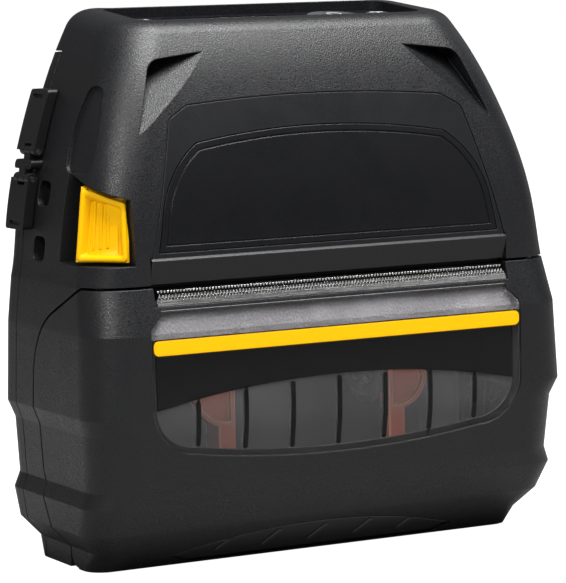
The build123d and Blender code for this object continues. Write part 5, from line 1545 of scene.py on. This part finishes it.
@dataclass
class Studio:
    """Pale floor, soft light and the photograph's camera."""

    camera_place: Point = (-0.42692, -0.79641, 0.17195)
    yaw: float = 28.147
    pitch: float = 6.168
    roll: float = -1.314
    focal_pixels: float = 3107.07
    long_side: float = 583.0
    sensor: float = 36.0
    clip: Spot = (0.01, 20.0)
    floor_reach: float = 6.0
    floor_cells: int = 12
    floor_shades: Spot = (0.23, 0.26)
    floor_fibre: float = 9.0
    floor_roughness: float = 0.9
    floor_glow: float = 1.0
    surround: float = 0.10
    aim: Point = (0.0, 0.0, 0.08)
    lamps: tuple[tuple[str, Point, Spot, float], ...] = (
        ("Overhead", (0.25, -0.42, 1.6), (1.3, 1.0), 70.0),
        ("Key", (-0.9, -0.75, 0.9), (0.5, 0.5), 10.5),
        ("Fill", (0.9, -0.9, 0.5), (0.5, 0.8), 0.3),
        ("Left edge", (-1.1, 0.35, 0.35), (0.4, 0.8), 0.3),
        ("Right edge", (0.95, 0.45, 0.45), (0.4, 0.8), 0.3),
    )

    def camera(self) -> None:
        """Place the camera at the photograph's viewing angle."""
        yaw, pitch, roll = (math.radians(value) for value in (self.yaw, self.pitch, self.roll))
        ahead = Vector((math.sin(yaw) * math.cos(pitch), math.cos(yaw) * math.cos(pitch), -math.sin(pitch)))
        level = Vector((math.cos(yaw), -math.sin(yaw), 0.0))
        above = level.cross(ahead)
        right = level * math.cos(roll) + above * math.sin(roll)
        up = above * math.cos(roll) - level * math.sin(roll)
        data = bpy.data.cameras.new("Studio camera")
        data.sensor_width = self.sensor
        data.lens = self.focal_pixels * self.sensor / self.long_side
        data.clip_start, data.clip_end = self.clip
        camera = bpy.data.objects.new("Studio camera", data)
        turn = Matrix((right, up, -ahead)).transposed().to_4x4()
        camera.matrix_world = Matrix.Translation(self.camera_place) @ turn
        bpy.context.scene.collection.objects.link(camera)
        bpy.context.scene.camera = camera

    def lamp(self, name: str, at: Point, size: Spot, power: float) -> None:
        """Add a soft rectangular light.

        Args:
            name: The light's name.
            at: Where it stands, in metres.
            size: Its width and height.
            power: Its power in watts.
        """
        data = bpy.data.lights.new(name, "AREA")
        data.shape = "RECTANGLE"
        data.size, data.size_y = size
        data.energy = power
        light = bpy.data.objects.new(name, data)
        light.location = at
        light.rotation_euler = (Vector(self.aim) - Vector(at)).to_track_quat("-Z", "Y").to_euler()
        bpy.context.scene.collection.objects.link(light)

    def floor(self) -> None:
        """Lay a wide pale floor."""
        mesh = bpy.data.meshes.new("Floor")
        sheet = bmesh.new()
        bmesh.ops.create_grid(sheet, x_segments=self.floor_cells, y_segments=self.floor_cells, size=self.floor_reach)
        sheet.to_mesh(mesh)
        sheet.free()
        floor = bpy.data.objects.new("Floor", mesh)
        material, tree, shader = blank_material("Pale paper")
        where = place(tree, "ShaderNodeTexCoord")
        fibre = place(tree, "ShaderNodeTexNoise", in_Scale=self.floor_fibre, in_Detail=2.0)
        wire(tree, (where, "Object", fibre, "Vector"))
        pale = mixed_colour(tree, fibre.outputs["Fac"], *((shade, shade, shade, 1.0) for shade in self.floor_shades))
        tree.links.new(pale, shader.inputs["Base Color"])
        shader.inputs["Roughness"].default_value = self.floor_roughness
        path = place(tree, "ShaderNodeLightPath")
        glow = place(tree, "ShaderNodeMath", operation="MULTIPLY", in_1=self.floor_glow)
        wire(tree, (path, "Is Camera Ray", glow, 0))
        shader.inputs["Emission Color"].default_value = (1.0, 1.0, 1.0, 1.0)
        wire(tree, (glow, 0, shader, "Emission Strength"))
        mesh.materials.append(material)
        bpy.context.scene.collection.objects.link(floor)

    def sky(self) -> None:
        """A white surround for the camera that lights the object more gently."""
        world = bpy.data.worlds.new("Studio")
        bpy.context.scene.world = world
        world.use_nodes = True
        tree = world.node_tree
        path = place(tree, "ShaderNodeLightPath")
        strength = mapped(tree, 0.0, 1.0, self.surround, 1.0)
        wire(tree, (path, "Is Camera Ray", strength, "Value"))
        sky = tree.nodes["Background"]
        sky.inputs["Color"].default_value = (1.0, 1.0, 1.0, 1.0)
        wire(tree, (strength, "Result", sky, "Strength"))

    def light(self) -> None:
        """Hang the soft boxes."""
        for lamp in self.lamps:
            self.lamp(*lamp)

    def build(self) -> None:
        """Set up floor, lights, surround and camera."""
        bpy.context.scene.view_settings.view_transform = "Standard"
        self.floor()
        self.light()
        self.sky()
        self.camera()


def main() -> None:
    """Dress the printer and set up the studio."""
    logging.basicConfig(level=logging.INFO, format="%(message)s")
    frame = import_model()
    wardrobe = Wardrobe()
    dressed: set[str] = set()
    for kind in SUB_ASSEMBLIES:
        kind(frame, wardrobe).build()
        dressed.update(kind.members)
    missing = set(frame["nodes"]) - dressed
    if missing:
        raise RuntimeError(f"nodes with no finish: {sorted(missing)}")
    Studio().build()


if __name__ == "__main__":
    main()
